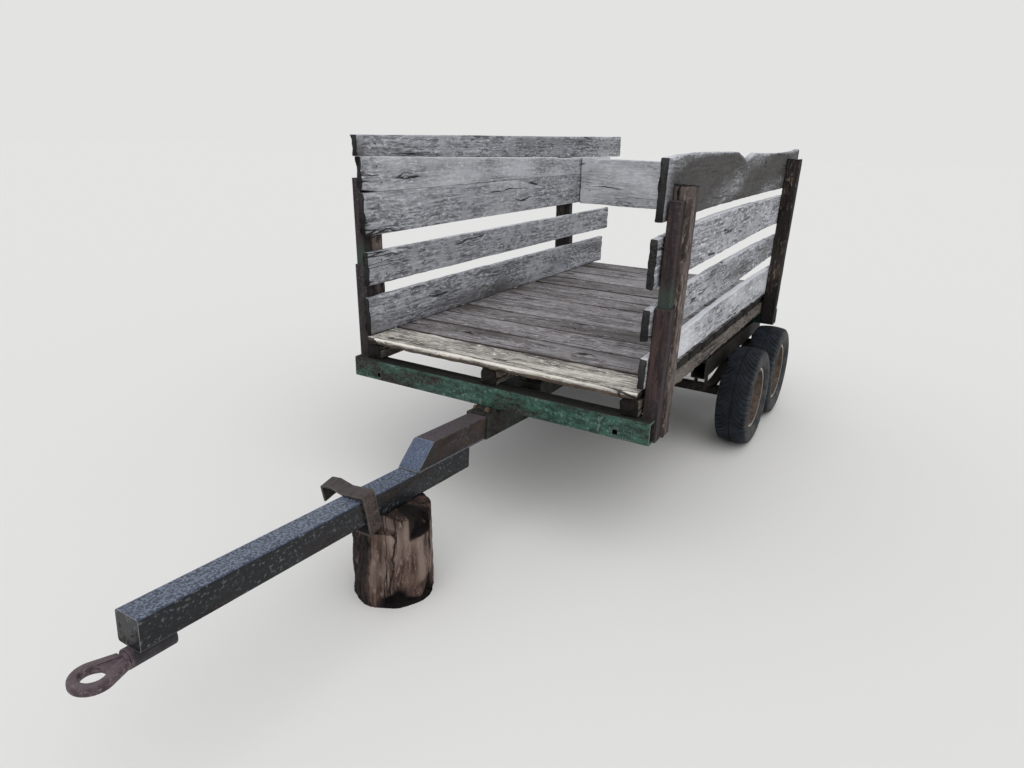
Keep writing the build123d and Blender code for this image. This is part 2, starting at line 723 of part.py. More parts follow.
# Board nailed across the rear of the sides, from the right side, where its end follows the lean
cross_board_low = 484.0
cross_board_high = 800.0
cross_board_reach = 840.0
cross_board_back = 2360.0
cross_board_sag = 4.0
with BuildPart() as cross_board:
    board_corner = side_point(-1, x_at(cross_board_back), -board_thickness - seat, 0)
    board_origin = (board_corner.X, board_corner.Y, deck_top)
    with BuildSketch(Plane(origin=board_origin, x_dir=(0, 1, 0), z_dir=(1, 0, 0))):
        half_reach = cross_board_reach / 2
        low_end = -(deck_top + cross_board_low - beam_top + beam_height) * tan(lean)
        high_end = -(deck_top + cross_board_high - beam_top + beam_height) * tan(lean)
        middle_low = cross_board_low - cross_board_sag
        middle_high = cross_board_high + cross_board_sag
        end = cross_board_reach
        low_edge = ((low_end, cross_board_low), (half_reach, middle_low), (end, cross_board_low))
        high_edge = ((high_end, cross_board_high), (half_reach, middle_high), (end, cross_board_high))
        with BuildLine():
            Spline(*low_edge)
            Spline(*high_edge)
            Line(low_edge[0], high_edge[0])
            Line(low_edge[-1], high_edge[-1])
        make_face()
    extrude(amount=-board_thickness)
save(cross_board, "rear_cross_board")

# Stakes at the corners: sleeve, steel stake and wooden post
front_post_back = sleeve_setback + sleeve_size
rear_sleeve_back = rear_post_back + post_depth
corners = (
    # name, side, back of the sleeve, back of the post, drop of sleeve and post, rise of the post
    ("front_left", 1, sleeve_setback, front_post_back, beam_height, front_post_rise),
    ("front_right", -1, sleeve_setback, front_post_back, beam_height, front_post_rise),
    ("rear_left", 1, rear_sleeve_back, rear_post_back, rear_stake_drop, rear_post_rise),
    ("rear_right", -1, rear_sleeve_back, rear_post_back, rear_stake_drop, rear_post_rise),
)
for name, side, sleeve_back, post_back, drop, post_rise in corners:
    sleeve_plane = stake_plane(side, x_at(sleeve_back) - sleeve_size / 2, sleeve_size / 2, beam_height - drop)
    with BuildPart() as sleeve:
        with BuildSketch(sleeve_plane):
            RectangleRounded(sleeve_size, sleeve_size, sleeve_wall)
            Rectangle(stake_size + 2 * seat, stake_size + 2 * seat, mode=Mode.SUBTRACT)
        extrude(amount=drop + sleeve_rise)
    save(sleeve, f"stake_sleeve_{name}")

    with BuildPart() as stake:
        with BuildSketch(sleeve_plane):
            RectangleRounded(stake_size, stake_size, stake_wall)
        extrude(amount=drop + stake_rise)
        with BuildSketch(sleeve_plane):
            Rectangle(stake_size - 2 * stake_wall, stake_size - 2 * stake_wall)
        extrude(amount=drop + stake_rise - stake_wall, mode=Mode.SUBTRACT)
    save(stake, f"steel_stake_{name}")

    post_plane = stake_plane(side, x_at(post_back) - post_depth / 2, post_width / 2, beam_height - drop)
    with BuildPart() as post:
        with BuildSketch(post_plane):
            RectangleRounded(post_depth, post_width, post_round)
        extrude(amount=drop + post_rise)
    save(post, f"wooden_post_{name}")
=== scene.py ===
# %% [markdown]
# # A weathered timber trailer
# The trailer stands outdoors on its wheels, with its drawbar resting on a log. Most of what the
# eye meets is old wood: silver boards, a darker bed and four posts. The rest is steel in three
# states: green enamel, black paint and bare rust. The solids come ready made and in place, so this
# lesson gives them their worn edges, cracks, tread, fastenings and finishes.

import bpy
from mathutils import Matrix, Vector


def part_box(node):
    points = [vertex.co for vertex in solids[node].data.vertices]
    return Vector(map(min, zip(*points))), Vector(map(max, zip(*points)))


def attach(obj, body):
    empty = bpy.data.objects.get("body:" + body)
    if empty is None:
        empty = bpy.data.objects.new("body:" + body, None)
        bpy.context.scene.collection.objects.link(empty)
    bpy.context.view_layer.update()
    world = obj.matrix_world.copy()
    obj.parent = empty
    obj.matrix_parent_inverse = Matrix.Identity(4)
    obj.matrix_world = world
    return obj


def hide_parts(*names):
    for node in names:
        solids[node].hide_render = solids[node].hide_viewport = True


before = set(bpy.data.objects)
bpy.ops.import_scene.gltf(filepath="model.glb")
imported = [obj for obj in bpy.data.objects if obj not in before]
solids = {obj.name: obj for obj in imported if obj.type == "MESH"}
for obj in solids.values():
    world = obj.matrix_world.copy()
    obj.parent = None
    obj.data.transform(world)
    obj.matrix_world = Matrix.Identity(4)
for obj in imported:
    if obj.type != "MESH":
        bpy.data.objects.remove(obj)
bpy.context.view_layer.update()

# %% Tools used all through
from math import cos, pi, radians, sin, sqrt, tau

import bmesh
import bpy
import numpy as np
from mathutils import Quaternion, Vector, noise

chassis = "chassis"
mm = 0.001
print("one unit is a metre, so a millimetre is", mm)

# %% [markdown]
# ## The camera
# The eye stands in front of the trailer and to its left, a little above the top boards. Its place
# was worked out from corners that show in the picture, such as the ends of the green beam and the
# nose of the drawbar. Heading is the way the camera looks, measured round from the trailer's
# forward axis. Tilt is how far it looks down, and roll is how far it leans to one side.

# %% Place the camera
eye_place = Vector((3.1527, 1.6315, 1.7540))
heading, tilt, roll = radians(-149.626), radians(19.736), radians(1.476)
picture_width = 1024
focal_pixels = 710.0

camera_data = bpy.data.cameras.new("camera")
camera_data.sensor_width = 36.0
camera_data.lens = camera_data.sensor_width * focal_pixels / picture_width
camera = bpy.data.objects.new("camera", camera_data)
bpy.context.scene.collection.objects.link(camera)
ahead = Vector((cos(tilt) * cos(heading), cos(tilt) * sin(heading), -sin(tilt)))
camera.location = eye_place
camera.rotation_mode = "QUATERNION"
camera.rotation_quaternion = ahead.to_track_quat("-Z", "Y") @ Quaternion((0, 0, 1), roll)
bpy.context.scene.camera = camera
bpy.context.scene.view_settings.view_transform = "Standard"
print(f"lens {camera_data.lens:.2f} mm at {tuple(round(c, 3) for c in eye_place)}")

# %% [markdown]
# ## Colours and nodes
# Colours are written the way a paint chart gives them, as sRGB hex values. Blender's sockets take
# linear light instead, so one function turns the one into the other. Another small function adds
# any node, sets what is given to it and links whatever comes from another node. Pattern sizes are
# real ones: `per_metre` turns a size in millimetres into the scale that a texture node wants.

# %% Colour and node helpers
def linear(code):
    """Turn an sRGB hex colour into linear red, green, blue and alpha."""
    parts = [int(code[i : i + 2], 16) / 255 for i in (1, 3, 5)]
    return [c / 12.92 if c <= 0.04045 else ((c + 0.055) / 1.055) ** 2.4 for c in parts] + [1.0]


def per_metre(size_mm):
    """Scale of a texture whose pattern repeats about every size_mm."""
    return 1000.0 / size_mm


def fill(tree, node, inputs):
    """Fill a node's inputs: sockets are linked, and hex codes become linear colours."""
    for key, value in inputs.items():
        value = linear(value) if isinstance(value, str) else value
        if isinstance(value, bpy.types.NodeSocket):
            tree.links.new(value, node.inputs[key])
        else:
            node.inputs[key].default_value = value


def add(tree, kind, inputs=None, output=0, **settings):
    """Add one node, set it and fill its inputs, and return one of its outputs."""
    node = tree.nodes.new("ShaderNode" + kind)
    for key, value in settings.items():
        setattr(node, key, value)
    fill(tree, node, inputs or {})
    return node.outputs[output] if node.outputs else node


def new_material(name):
    """An empty material, its tree and its main shader."""
    material = bpy.data.materials.new(name)
    material.use_nodes = True
    tree = material.node_tree
    tree.nodes.clear()
    surface = add(tree, "BsdfPrincipled")
    add(tree, "OutputMaterial", {"Surface": surface})
    return material, tree, surface.node


print("white is", linear("#FFFFFF"), "and a 5 mm pattern has scale", per_metre(5))

# %% [markdown]
# ## Laying one colour over another
# Wear, rust and dirt are all painted the same way: a noise is cut softly between two levels, and
# where it passes, a second colour lies over the first. With the levels swapped it lies where the
# noise is low. A finish is a list of such coats, one over the other.

# %% The painter's step
def lay(tree, tone, *coats):
    """Lay coats over a colour. Each has its colour, a value, the two levels of that value between
    which the coat comes in, and the share that it hides at most, which is all if it isn't given."""
    for over, value, start, end, *share in coats:
        limits = {"Value": value, "From Min": start, "From Max": end,
                  "To Max": share[0] if share else 1.0}
        mask = add(tree, "MapRange", limits, interpolation_type="SMOOTHSTEP")
        tone = add(tree, "Mix", {0: mask, 6: tone, 7: over}, output=2, data_type="RGBA")
    return tone


print("painter's step ready")

# %% [markdown]
# ## Floor and light
# An overcast sky lights everything from above with hardly a shadow, and that suits rough wood:
# its relief shows without glare. A pale world does the same, and a sun as wide as a bank of cloud
# makes the tops a little brighter than the sides. The floor is plain and pale. The world shows the
# camera, and whatever shines, a colour that meets the floor at the horizon.

# %% Floor, world and lamp
floor_half = 60.0
floor_mesh = bpy.data.meshes.new("floor")
floor_corners = [(-floor_half, -floor_half, 0), (floor_half, -floor_half, 0),
                 (floor_half, floor_half, 0), (-floor_half, floor_half, 0)]
floor_mesh.from_pydata(floor_corners, [], [(0, 1, 2, 3)])
floor = bpy.data.objects.new("floor", floor_mesh)
bpy.context.scene.collection.objects.link(floor)
floor_paint, tree, shader = new_material("pale_floor_paint")
fill(tree, shader, {"Base Color": "#E6E4E0", "Roughness": 0.95, "Specular IOR Level": 0.1})
floor_mesh.materials.append(floor_paint)

world = bpy.data.worlds.new("overcast")
world.use_nodes = True
tree = world.node_tree
tree.nodes.clear()
sky_level = 0.74
sky = add(tree, "Background", {"Color": "#F2F5FA", "Strength": sky_level})
seen = add(tree, "Background", {"Color": "#E3E3E2", "Strength": 1.0})
direct = add(tree, "LightPath", output="Is Camera Ray")
for kind in ("Glossy", "Transmission"):
    ray = add(tree, "LightPath", output=f"Is {kind} Ray")
    direct = add(tree, "Math", {0: direct, 1: ray}, operation="MAXIMUM")
add(tree, "OutputWorld", {"Surface": add(tree, "MixShader", {0: direct, 1: sky, 2: seen})})
bpy.context.scene.world = world

lamp_data = bpy.data.lights.new("cloud_bright_sun", "SUN")
lamp_data.energy = 1.15
lamp_data.angle = radians(75)
lamp = bpy.data.objects.new("cloud_bright_sun", lamp_data)
lamp.rotation_mode = "QUATERNION"
light_way = Vector((-0.45, -0.35, -1.0))
lamp.rotation_quaternion = light_way.to_track_quat("-Z", "Y")
bpy.context.scene.collection.objects.link(lamp)
print(f"sky at {sky_level}, sun at {lamp_data.energy}")

# %% [markdown]
# ## Old boards: the wood itself
# Untreated pine and oak left outside turn silver. Rain washes the soft wood out from between the
# hard fibres, so the surface is ribbed along the grain, and drying opens dark cracks that follow
# it. Every timber mesh below carries its own grain directions in an attribute called `grain`, as
# metres along, across and through the piece, so one material runs the right way on all of them.
# `end` marks the end grain, `reach` is the distance from the nearest end, where more cracks open,
# and `damp` goes from -1, bleached, to 1, wet and dark; on the front plank it also carries painted
# shade towards the underside. Fibres are noise stretched along the grain, cracks are the thin
# borders between long cells, and knots are small round spots that push the fibres aside.

# %% Weathered wood
def weathered_wood(name, bright, pale, body, shade, wet, crack, moss, moss_level, crack_level,
                   rib_depth):
    """Grey outdoor wood. Colours are hex codes, the levels say how much moss and how few cracks
    there are, and rib_depth is in millimetres."""
    material, tree, shader = new_material(name)
    grain = add(tree, "Attribute", output="Vector", attribute_name="grain")
    end, reach, damp = [add(tree, "Attribute", output="Fac", attribute_name=key)
                        for key in ("end", "reach", "damp")]

    # Knots about 25 mm wide, one in a few hundred millimetres
    knot_field = add(tree, "Mapping", {"Vector": grain, "Scale": (0.55, 1.0, 0.4)})
    knot = add(tree, "TexVoronoi", {"Vector": knot_field, "Scale": per_metre(300)})
    near_knot = {"Value": knot, "From Min": 0.22, "From Max": 0.0, "To Max": 0.035}
    push = add(tree, "MapRange", near_knot, interpolation_type="SMOOTHSTEP")

    # Fibres bend round the knots and wander a little of their own accord
    drift = add(tree, "TexNoise", {"Vector": grain, "Scale": per_metre(240), "Detail": 2.0})
    sway = add(tree, "Math", {0: drift, 1: 0.045, 2: push}, operation="MULTIPLY_ADD")
    ripple = add(tree, "TexNoise", {"Vector": grain, "Scale": per_metre(38), "Detail": 2.0})
    sway = add(tree, "Math", {0: ripple, 1: 0.012, 2: sway}, operation="MULTIPLY_ADD")
    offset = add(tree, "CombineXYZ", {"Y": sway, "Z": sway})
    bent = add(tree, "VectorMath", {0: grain, 1: offset}, operation="ADD")
    long_way, half_way, short_way, crack_way = [
        add(tree, "Mapping", {"Vector": bent, "Scale": scale})
        for scale in ((0.03, 1.0, 1.0), (0.13, 1.0, 1.0), (0.28, 1.0, 1.0), (0.035, 1.0, 0.35))]

    # Real fibres are under a millimetre wide; these are as coarse as they need to be to show
    fibre, streak, speck, patch = [
        add(tree, "TexNoise", {"Vector": way, "Scale": per_metre(size), "Detail": detail,
                               "Roughness": rough})
        for way, size, detail, rough in ((long_way, 9, 4.0, 0.6), (half_way, 36, 6.0, 0.66),
                                         (short_way, 13, 4.0, 0.68), (grain, 150, 5.0, 0.62))]

    # Drying cracks: borders of cells 30 mm across and far longer, shown here and there
    cells = add(tree, "TexVoronoi", {"Vector": crack_way, "Scale": per_metre(30)},
                feature="DISTANCE_TO_EDGE")
    where = add(tree, "TexNoise", {"Vector": half_way, "Scale": per_metre(70), "Detail": 3.0})
    nearer = {"Value": reach, "From Min": 0.22, "From Max": 0.0, "To Max": 0.13}
    eager = add(tree, "Math", {0: where, 1: add(tree, "MapRange", nearer)}, operation="ADD")
    thin = {"Value": cells, "From Min": 0.055, "From Max": 0.015}
    shown = {"Value": eager, "From Min": crack_level, "From Max": crack_level + 0.06}
    cracks = add(tree, "Math", {0: add(tree, "MapRange", thin, interpolation_type="SMOOTHSTEP"),
                                1: add(tree, "MapRange", shown, interpolation_type="SMOOTHSTEP")},
                 operation="MULTIPLY")

    mottled = add(tree, "Math", {0: patch, 1: 0.8, 2: damp}, operation="MULTIPLY_ADD")
    moss_edge = 1.0 - moss_level
    tone = lay(tree, body, (shade, streak, 0.50, 0.38, 0.85), (pale, fibre, 0.49, 0.60, 0.85),
               (shade, fibre, 0.47, 0.37, 0.75), (bright, speck, 0.55, 0.64, 0.72),
               (shade, speck, 0.46, 0.38, 0.68), (wet, speck, 0.39, 0.33, 0.6),
               (pale, patch, 0.50, 0.62, 0.65), (moss, patch, moss_edge, moss_edge + 0.12, 0.5),
               (wet, mottled, 0.45, 1.25, 0.92), (bright, mottled, 0.35, -0.45, 0.8),
               (crack, knot, 0.07, 0.035, 0.8), (crack, cracks, 0.0, 1.0, 0.92),
               (crack, end, 0.0, 1.0, 0.95))

    # The relief is a few millimetres at most, as rain leaves it
    ribs = add(tree, "Math", {0: fibre, 1: 0.8, 2: streak}, operation="MULTIPLY_ADD")
    ribs = add(tree, "Math", {0: speck, 1: 0.4, 2: ribs}, operation="MULTIPLY_ADD")
    height = add(tree, "Math", {0: cracks, 1: -1.3, 2: ribs}, operation="MULTIPLY_ADD")
    bump = add(tree, "Bump", {"Height": height, "Strength": 0.8, "Distance": rib_depth * mm})
    fill(tree, shader, {"Base Color": tone, "Normal": bump, "Roughness": 0.88, "IOR": 1.5,
                        "Specular IOR Level": 0.25})
    return material


silver_board = weathered_wood("silver_weathered_board", "#E6E6E9", "#BABBC0", "#939499",
                              "#5D5D60", "#403D3A", "#1A1817", "#74756A", 0.34, 0.60, 2.8)
grey_bed = weathered_wood("trodden_bed_plank", "#C6C2C2", "#9E9A9C", "#7F7C7D", "#59534F",
                          "#38302C", "#171412", "#6C6558", 0.36, 0.53, 2.4)
cream_plank = weathered_wood("cracked_front_plank", "#FCF6E9", "#CBC5BB", "#918C88", "#4F4740",
                             "#4A3E32", "#1C1612", "#8A7A5C", 0.36, 0.50, 2.8)
brown_post = weathered_wood("brown_weathered_post", "#A0958F", "#7C706A", "#5A4F49", "#3A312D",
                            "#262120", "#120F0E", "#55503F", 0.36, 0.52, 2.8)
black_post = weathered_wood("blackened_post", "#A2957F", "#554B42", "#373130", "#241F1F",
                            "#151213", "#0B0909", "#3C3A32", 0.34, 0.52, 2.8)
dark_bearer = weathered_wood("damp_bearer_wood", "#A59C90", "#766E66", "#544D47", "#342F2C",
                             "#1E1B19", "#0E0C0B", "#54503F", 0.34, 0.50, 2.6)
rotten_log = weathered_wood("rotten_log_wood", "#8C7B71", "#67534A", "#4A3832", "#32241F",
                            "#221C1D", "#0D0908", "#5C5640", 0.40, 0.50, 4.0)
print("seven woods, such as", silver_board.name)

# %% [markdown]
# ## Green enamel, black paint and rust
# The cross beams were brushed with green enamel. Enamel is glossy when new, but this has chalked,
# so its roughness is near the middle, and it has worn to grey steel along its edges and to rust in
# spots. Rust is iron oxide: rough, never metallic, purple-brown where it is old and orange where
# it is fresh. The drawbar has thin black paint that shows rust through its flanks. All are one
# recipe: a coat, rust that breaks through it, edges rubbed bare, dirt that settles on whatever
# faces up, and a relief of pits and brush marks about a millimetre deep. On the black drawbar the
# layer on the tops is a painted sheen of the sky instead of dirt, and its damp tops take a painted
# reflection of the sky. The Bevel node finds the edges: where the rounded normal differs from the
# true one, a hand or a chain has rubbed.

# %% Painted and rusty steel
def old_steel(name, coat, coat_shade, rust, rust_dark, wear, dirt_and_sheen, rust_level, gloss,
              stretch=(1.0, 1.0, 1.0), speck=0.5, edge=0.6, top_dirt_and_sheen=0.5, band=None, dew_and_sky_sheen=None):
    """Steel with a coat of paint that rust breaks through. rust_level is the share left painted,
    and stretch draws its blotches out. band gives a stretch in another colour: its axis, its
    colour, where it starts and ends, and how far its edge frays. The last argument gives the
    colour of a painted reflection of the sky on damp tops, and the X forward of which it lies."""
    material, tree, shader = new_material(name)
    place = add(tree, "TexCoord", output="Object")
    drawn = add(tree, "Mapping", {"Vector": place, "Scale": stretch})
    cloud, blotch, grit, mottle = [
        add(tree, "TexNoise", {"Vector": way, "Scale": per_metre(size), "Detail": detail,
                               "Roughness": rough})
        for way, size, detail, rough in ((drawn, 160, 6.0, 0.62), (drawn, 34, 7.0, 0.7),
                                         (place, 5, 4.0, 0.7), (place, 13, 4.0, 0.62))]

    paint = lay(tree, coat_shade, (coat, blotch, 0.38, 0.60), (wear, mottle, 0.54, 0.68, 0.5),
                (coat_shade, mottle, 0.46, 0.38, 0.6))
    if band:
        band_axis, band_colour, band_start, band_end, fray = band
        split = add(tree, "SeparateXYZ", {"Vector": place}, output=band_axis)
        frayed = add(tree, "Math", {0: cloud, 1: fray, 2: split}, operation="MULTIPLY_ADD")
        paint = lay(tree, paint, (band_colour, frayed, band_start, band_end, 0.8))
    old_rust = lay(tree, rust_dark, (rust, blotch, 0.38, 0.60), (wear, grit, 0.54, 0.70, speck))
    level = add(tree, "Math", {0: mottle, 1: 0.5, 2: cloud}, operation="MULTIPLY_ADD")
    limits = {"Value": level, "From Min": rust_level + 0.25, "From Max": rust_level + 0.33}
    rusted = add(tree, "MapRange", limits, interpolation_type="SMOOTHSTEP")
    tone = lay(tree, paint, (old_rust, rusted, 0.0, 1.0))
    if band:
        tone = lay(tree, tone, (paint, frayed, band_start, band_end, 0.7))

    facing = add(tree, "NewGeometry", output="Normal")
    upward = add(tree, "SeparateXYZ", {"Vector": facing}, output="Z")
    facing_up_share = add(tree, "Math", {0: mottle, 1: 0.5, 2: upward}, operation="MULTIPLY_ADD")
    # Dirt on whatever faces up; on the black drawbar tube this layer is a painted sheen of the sky,
    # lighter and bluer than the paint
    tone = lay(tree, tone, (dirt_and_sheen, facing_up_share, 0.85, 1.15, top_dirt_and_sheen))
    if dew_and_sky_sheen:
        # Painted reflection of the sky: damp tops forward of one place, and fine glints on them,
        # take the sky's blue-grey
        sky_sheen_colour, sky_sheen_from = dew_and_sky_sheen
        forward = add(tree, "SeparateXYZ", {"Vector": place}, output="X")
        reached = add(tree, "Math", {0: forward, 1: sky_sheen_from}, operation="GREATER_THAN")
        sheen_top = add(tree, "Math", {0: upward, 1: reached}, operation="MULTIPLY")
        sky_sheen_mask = add(tree, "Math", {0: mottle, 1: 0.25, 2: sheen_top}, operation="MULTIPLY_ADD")
        beads = add(tree, "TexNoise", {"Vector": place, "Scale": per_metre(8), "Detail": 3.0})
        painted_glints = add(tree, "Math", {0: beads, 1: sky_sheen_mask}, operation="MULTIPLY")
        tone = lay(tree, tone, (sky_sheen_colour, sky_sheen_mask, 0.60, 0.92, 0.66),
                   ("#9FACBB", painted_glints, 0.50, 0.66, 0.34), ("#1D242C", beads, 0.45, 0.36, 0.5))
    round_normal = add(tree, "Bevel", {"Radius": 3.5 * mm}, samples=4)
    same = add(tree, "VectorMath", {0: round_normal, 1: facing}, output="Value",
               operation="DOT_PRODUCT")
    rubbed = add(tree, "Math", {0: mottle, 1: 0.10, 2: same}, operation="MULTIPLY_ADD")
    tone = lay(tree, tone, (wear, rubbed, 1.03, 0.96, edge))

    rough = add(tree, "MapRange", {"Value": rusted, "To Min": gloss, "To Max": 0.86})
    pits = add(tree, "Math", {0: blotch, 1: rusted}, operation="MULTIPLY")
    relief = add(tree, "Math", {0: grit, 1: 0.5, 2: pits}, operation="MULTIPLY_ADD")
    bump = add(tree, "Bump", {"Height": relief, "Strength": 0.5, "Distance": 1.2 * mm})
    fill(tree, shader, {"Base Color": tone, "Normal": bump, "Roughness": rough, "IOR": 1.5,
                        "Specular IOR Level": 0.25})
    return material


green_enamel = old_steel("chalked_green_enamel", "#3C6053", "#24352F", "#37322F", "#1F1C1B",
                         "#8D9C95", "#282625", 0.52, 0.46, (1.0, 0.5, 1.4), top_dirt_and_sheen=0.92)
socket_enamel = old_steel("worn_socket_enamel", "#252D28", "#191E1B", "#332A26", "#1B1614",
                          "#6E6A62", "#2C2926", 0.50, 0.50)
# Both drawbar tubes take a painted reflection of the sky, with glints, on their damp tops
bar_paint = old_steel("thin_blue_black_paint", "#1F2124", "#171819", "#372E2A", "#221C1A",
                      "#8A8A8E", "#30333A", 0.55, 0.30, (0.35, 1.0, 1.3), edge=0.9, top_dirt_and_sheen=0.3,
                      dew_and_sky_sheen=("#4C5367", 0.0))
riser_paint = old_steel("brushed_brown_black_paint", "#3A2E29", "#261F1D", "#4E3A30", "#2E231F",
                        "#8E8682", "#534C50", 0.46, 0.42, (0.35, 1.0, 1.3), edge=0.9,
                        top_dirt_and_sheen=0.8, band=("X", "#262B2C", 1.052, 1.060, 0.0),
                        dew_and_sky_sheen=("#5F6E86", 1.056))
strap_rust = old_steel("grey_brown_strap_rust", "#4A4646", "#373333", "#524641", "#312A28",
                       "#8E8883", "#4A4543", 0.44, 0.62, (0.5, 1.0, 1.0))
purple_rust = old_steel("purple_brown_rust", "#352D30", "#221D20", "#483835", "#2A2122",
                        "#6F6562", "#3A3331", 0.52, 0.60, (1.6, 1.6, 0.22), edge=0.5)
stake_rust = old_steel("stake_rust_over_old_green", "#372D2F", "#241D20", "#453733", "#2A2122",
                       "#6F6562", "#4A423E", 0.52, 0.60, (1.6, 1.6, 0.22), edge=0.5,
                       band=("Z", "#34453D", 1.27, 1.18, 0.05))
forged_rust = old_steel("smooth_forged_rust", "#5E5053", "#41363A", "#6A5856", "#3A2C2B",
                        "#948891", "#5F5358", 0.56, 0.55, speck=0.6, edge=0.4, top_dirt_and_sheen=0.5,
                        band=("X", "#25282E", 2.349, 2.343, 0.0))
spring_grime = old_steel("greasy_chassis_grime", "#25211F", "#1A1716", "#43342B", "#241C18",
                         "#4E4641", "#3A332E", 0.56, 0.74, (0.8, 1.0, 1.2), edge=0.3)
bolt_rust = old_steel("brown_bolt_rust", "#4A3F3A", "#352C29", "#5E4638", "#30241F",
                      "#877C74", "#3A322E", 0.40, 0.70, speck=0.6, edge=0.5)
print("ten steel finishes, such as", green_enamel.name)

# %% Give the steel solids their finishes
def dress(material, *names):
    """Put one material in every slot of the named solids."""
    for name in names:
        data = solids[name].data
        if not data.materials:
            data.materials.append(material)
        for index in range(len(data.materials)):
            data.materials[index] = material


corners = [f"{end}_{side}" for end in ("front", "rear") for side in ("left", "right")]
dress(green_enamel, "front_beam", "rear_beam")
dress(socket_enamel, "drawbar_socket", "spine", "middle_beam")
dress(bar_paint, "drawbar_lower_tube")
dress(riser_paint, "drawbar_upper_tube")
dress(strap_rust, "strap_hook")
dress(forged_rust, "tow_eye")
dress(purple_rust, *[f"stake_sleeve_{c}" for c in corners])
dress(stake_rust, *[f"steel_stake_{c}" for c in corners])
dress(spring_grime, "side_rail_left", "side_rail_right", "leaf_springs_left",
      "leaf_springs_right", "axle_front", "axle_rear")
print("steel solids dressed")

# %% [markdown]
# ## Building a worn timber
# A new board is a box, and a box looks wrong here. This helper lofts a board instead: it places a
# rounded rectangle every centimetre or so along the length, then pushes its points about. The
# corners are rounded more in some places than in others, the edges wander, the faces ripple, and
# the ends are eaten back a few millimetres. The sides of the trailer lean outwards by about a
# degree, so a leaning board is made upright and turned as the last step.

# %% Section points and noise
lean = radians(1.1)


def wander(points, size, seed):
    """Smooth noise at each point, about -0.7 to 0.7; size is how far it takes to change."""
    scaled = np.asarray(points) / np.array(size) + seed * 7.31
    return np.array([noise.noise(place) for place in scaled.tolist()])


def swing(points, angle):
    """Turn points, in rows of three, about the X axis."""
    x, y, z = np.moveaxis(np.asarray(points, float), -1, 0)
    return np.stack([x, y * cos(angle) - z * sin(angle), y * sin(angle) + z * cos(angle)], axis=-1)


def side_places(length, corner, step):
    """Places along one side of a section from -1 to 1, closer together at its corners."""
    half = length / 2
    count = max(2, round((length - 2 * corner) / step))
    middle = np.linspace(corner - half, half - corner, count + 1)
    early, late = [-half, -half + 0.4 * corner], [half - 0.4 * corner, half]
    return np.concatenate([early, middle, late]) / half


def section_places(width, thickness, corner, step):
    """Points round a rectangle's edge, as two columns from -1 to 1."""
    across, through = side_places(width, corner, step), side_places(thickness, corner, step)
    lower = [(p, -1) for p in across[:-1]]
    upper = [(-p, 1) for p in across[:-1]]
    rising = [(1, q) for q in through[:-1]]
    falling = [(-1, -q) for q in through[:-1]]
    return np.array(lower + rising + upper + falling, float).T


print("a board's section has", section_places(0.19, 0.031, 0.005, 0.014).shape[1], "points")

# %% The loft
def points_of(name, turn=0.0):
    """A solid's points in rows of three, turned about the X axis."""
    return swing([v.co for v in solids[name].data.vertices], turn)


def settle(name, mesh, material, body=chassis, layers=None, sharp=None):
    """Make a piece of a mesh. Layers hold one or three values for each point, which materials
    read, and edges that bend by more than `sharp` degrees stay sharp."""
    for key, values in (layers or {}).items():
        flat = np.reshape(values, (len(mesh.vertices), -1))
        kind, field = ("FLOAT_VECTOR", "vector") if flat.shape[1] == 3 else ("FLOAT", "value")
        mesh.attributes.new(key, kind, "POINT").data.foreach_set(field, flat.ravel())
    mesh.shade_smooth()
    if sharp:
        mesh.set_sharp_from_angle(angle=radians(sharp))
    facing_out = bmesh.new()
    facing_out.from_mesh(mesh)
    bmesh.ops.recalc_face_normals(facing_out, faces=facing_out.faces)
    facing_out.to_mesh(mesh)
    facing_out.free()
    mesh.materials.clear()
    mesh.materials.append(material)
    piece = bpy.data.objects.new(name, mesh)
    bpy.context.scene.collection.objects.link(piece)
    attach(piece, body)
    return piece


def quads(rows, around, closed=False):
    """Faces between rings of points, one ring after another, and back to the first if closed."""
    return [(row * around + k, row * around + (k + 1) % around,
             (row + 1) % rows * around + (k + 1) % around, (row + 1) % rows * around + k)
            for row in range(rows if closed else rows - 1) for k in range(around)]


def stand_in(name):
    """Let a piece take the place of a solid, which is hidden."""
    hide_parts(name)


def loft(name, rings, attributes, material):
    """Skin a stack of rings of points, close both ends, and make the piece."""
    count, around = rings.shape[:2]
    first_hub = count * around
    last_ring = first_hub - around

    def with_hubs(values):
        hubs = [values[0].mean(axis=0), values[-1].mean(axis=0)]
        return np.concatenate([values.reshape(first_hub, -1), hubs])

    faces = quads(count, around)
    for k in range(around):
        after = (k + 1) % around
        faces += [(after, k, first_hub), (last_ring + k, last_ring + after, first_hub + 1)]
    mesh = bpy.data.meshes.new(name)
    mesh.from_pydata(with_hubs(rings).tolist(), [], faces)
    layers = {key: with_hubs(values) for key, values in attributes.items()}
    return settle(name, mesh, material, layers=layers)


print("loft ready")

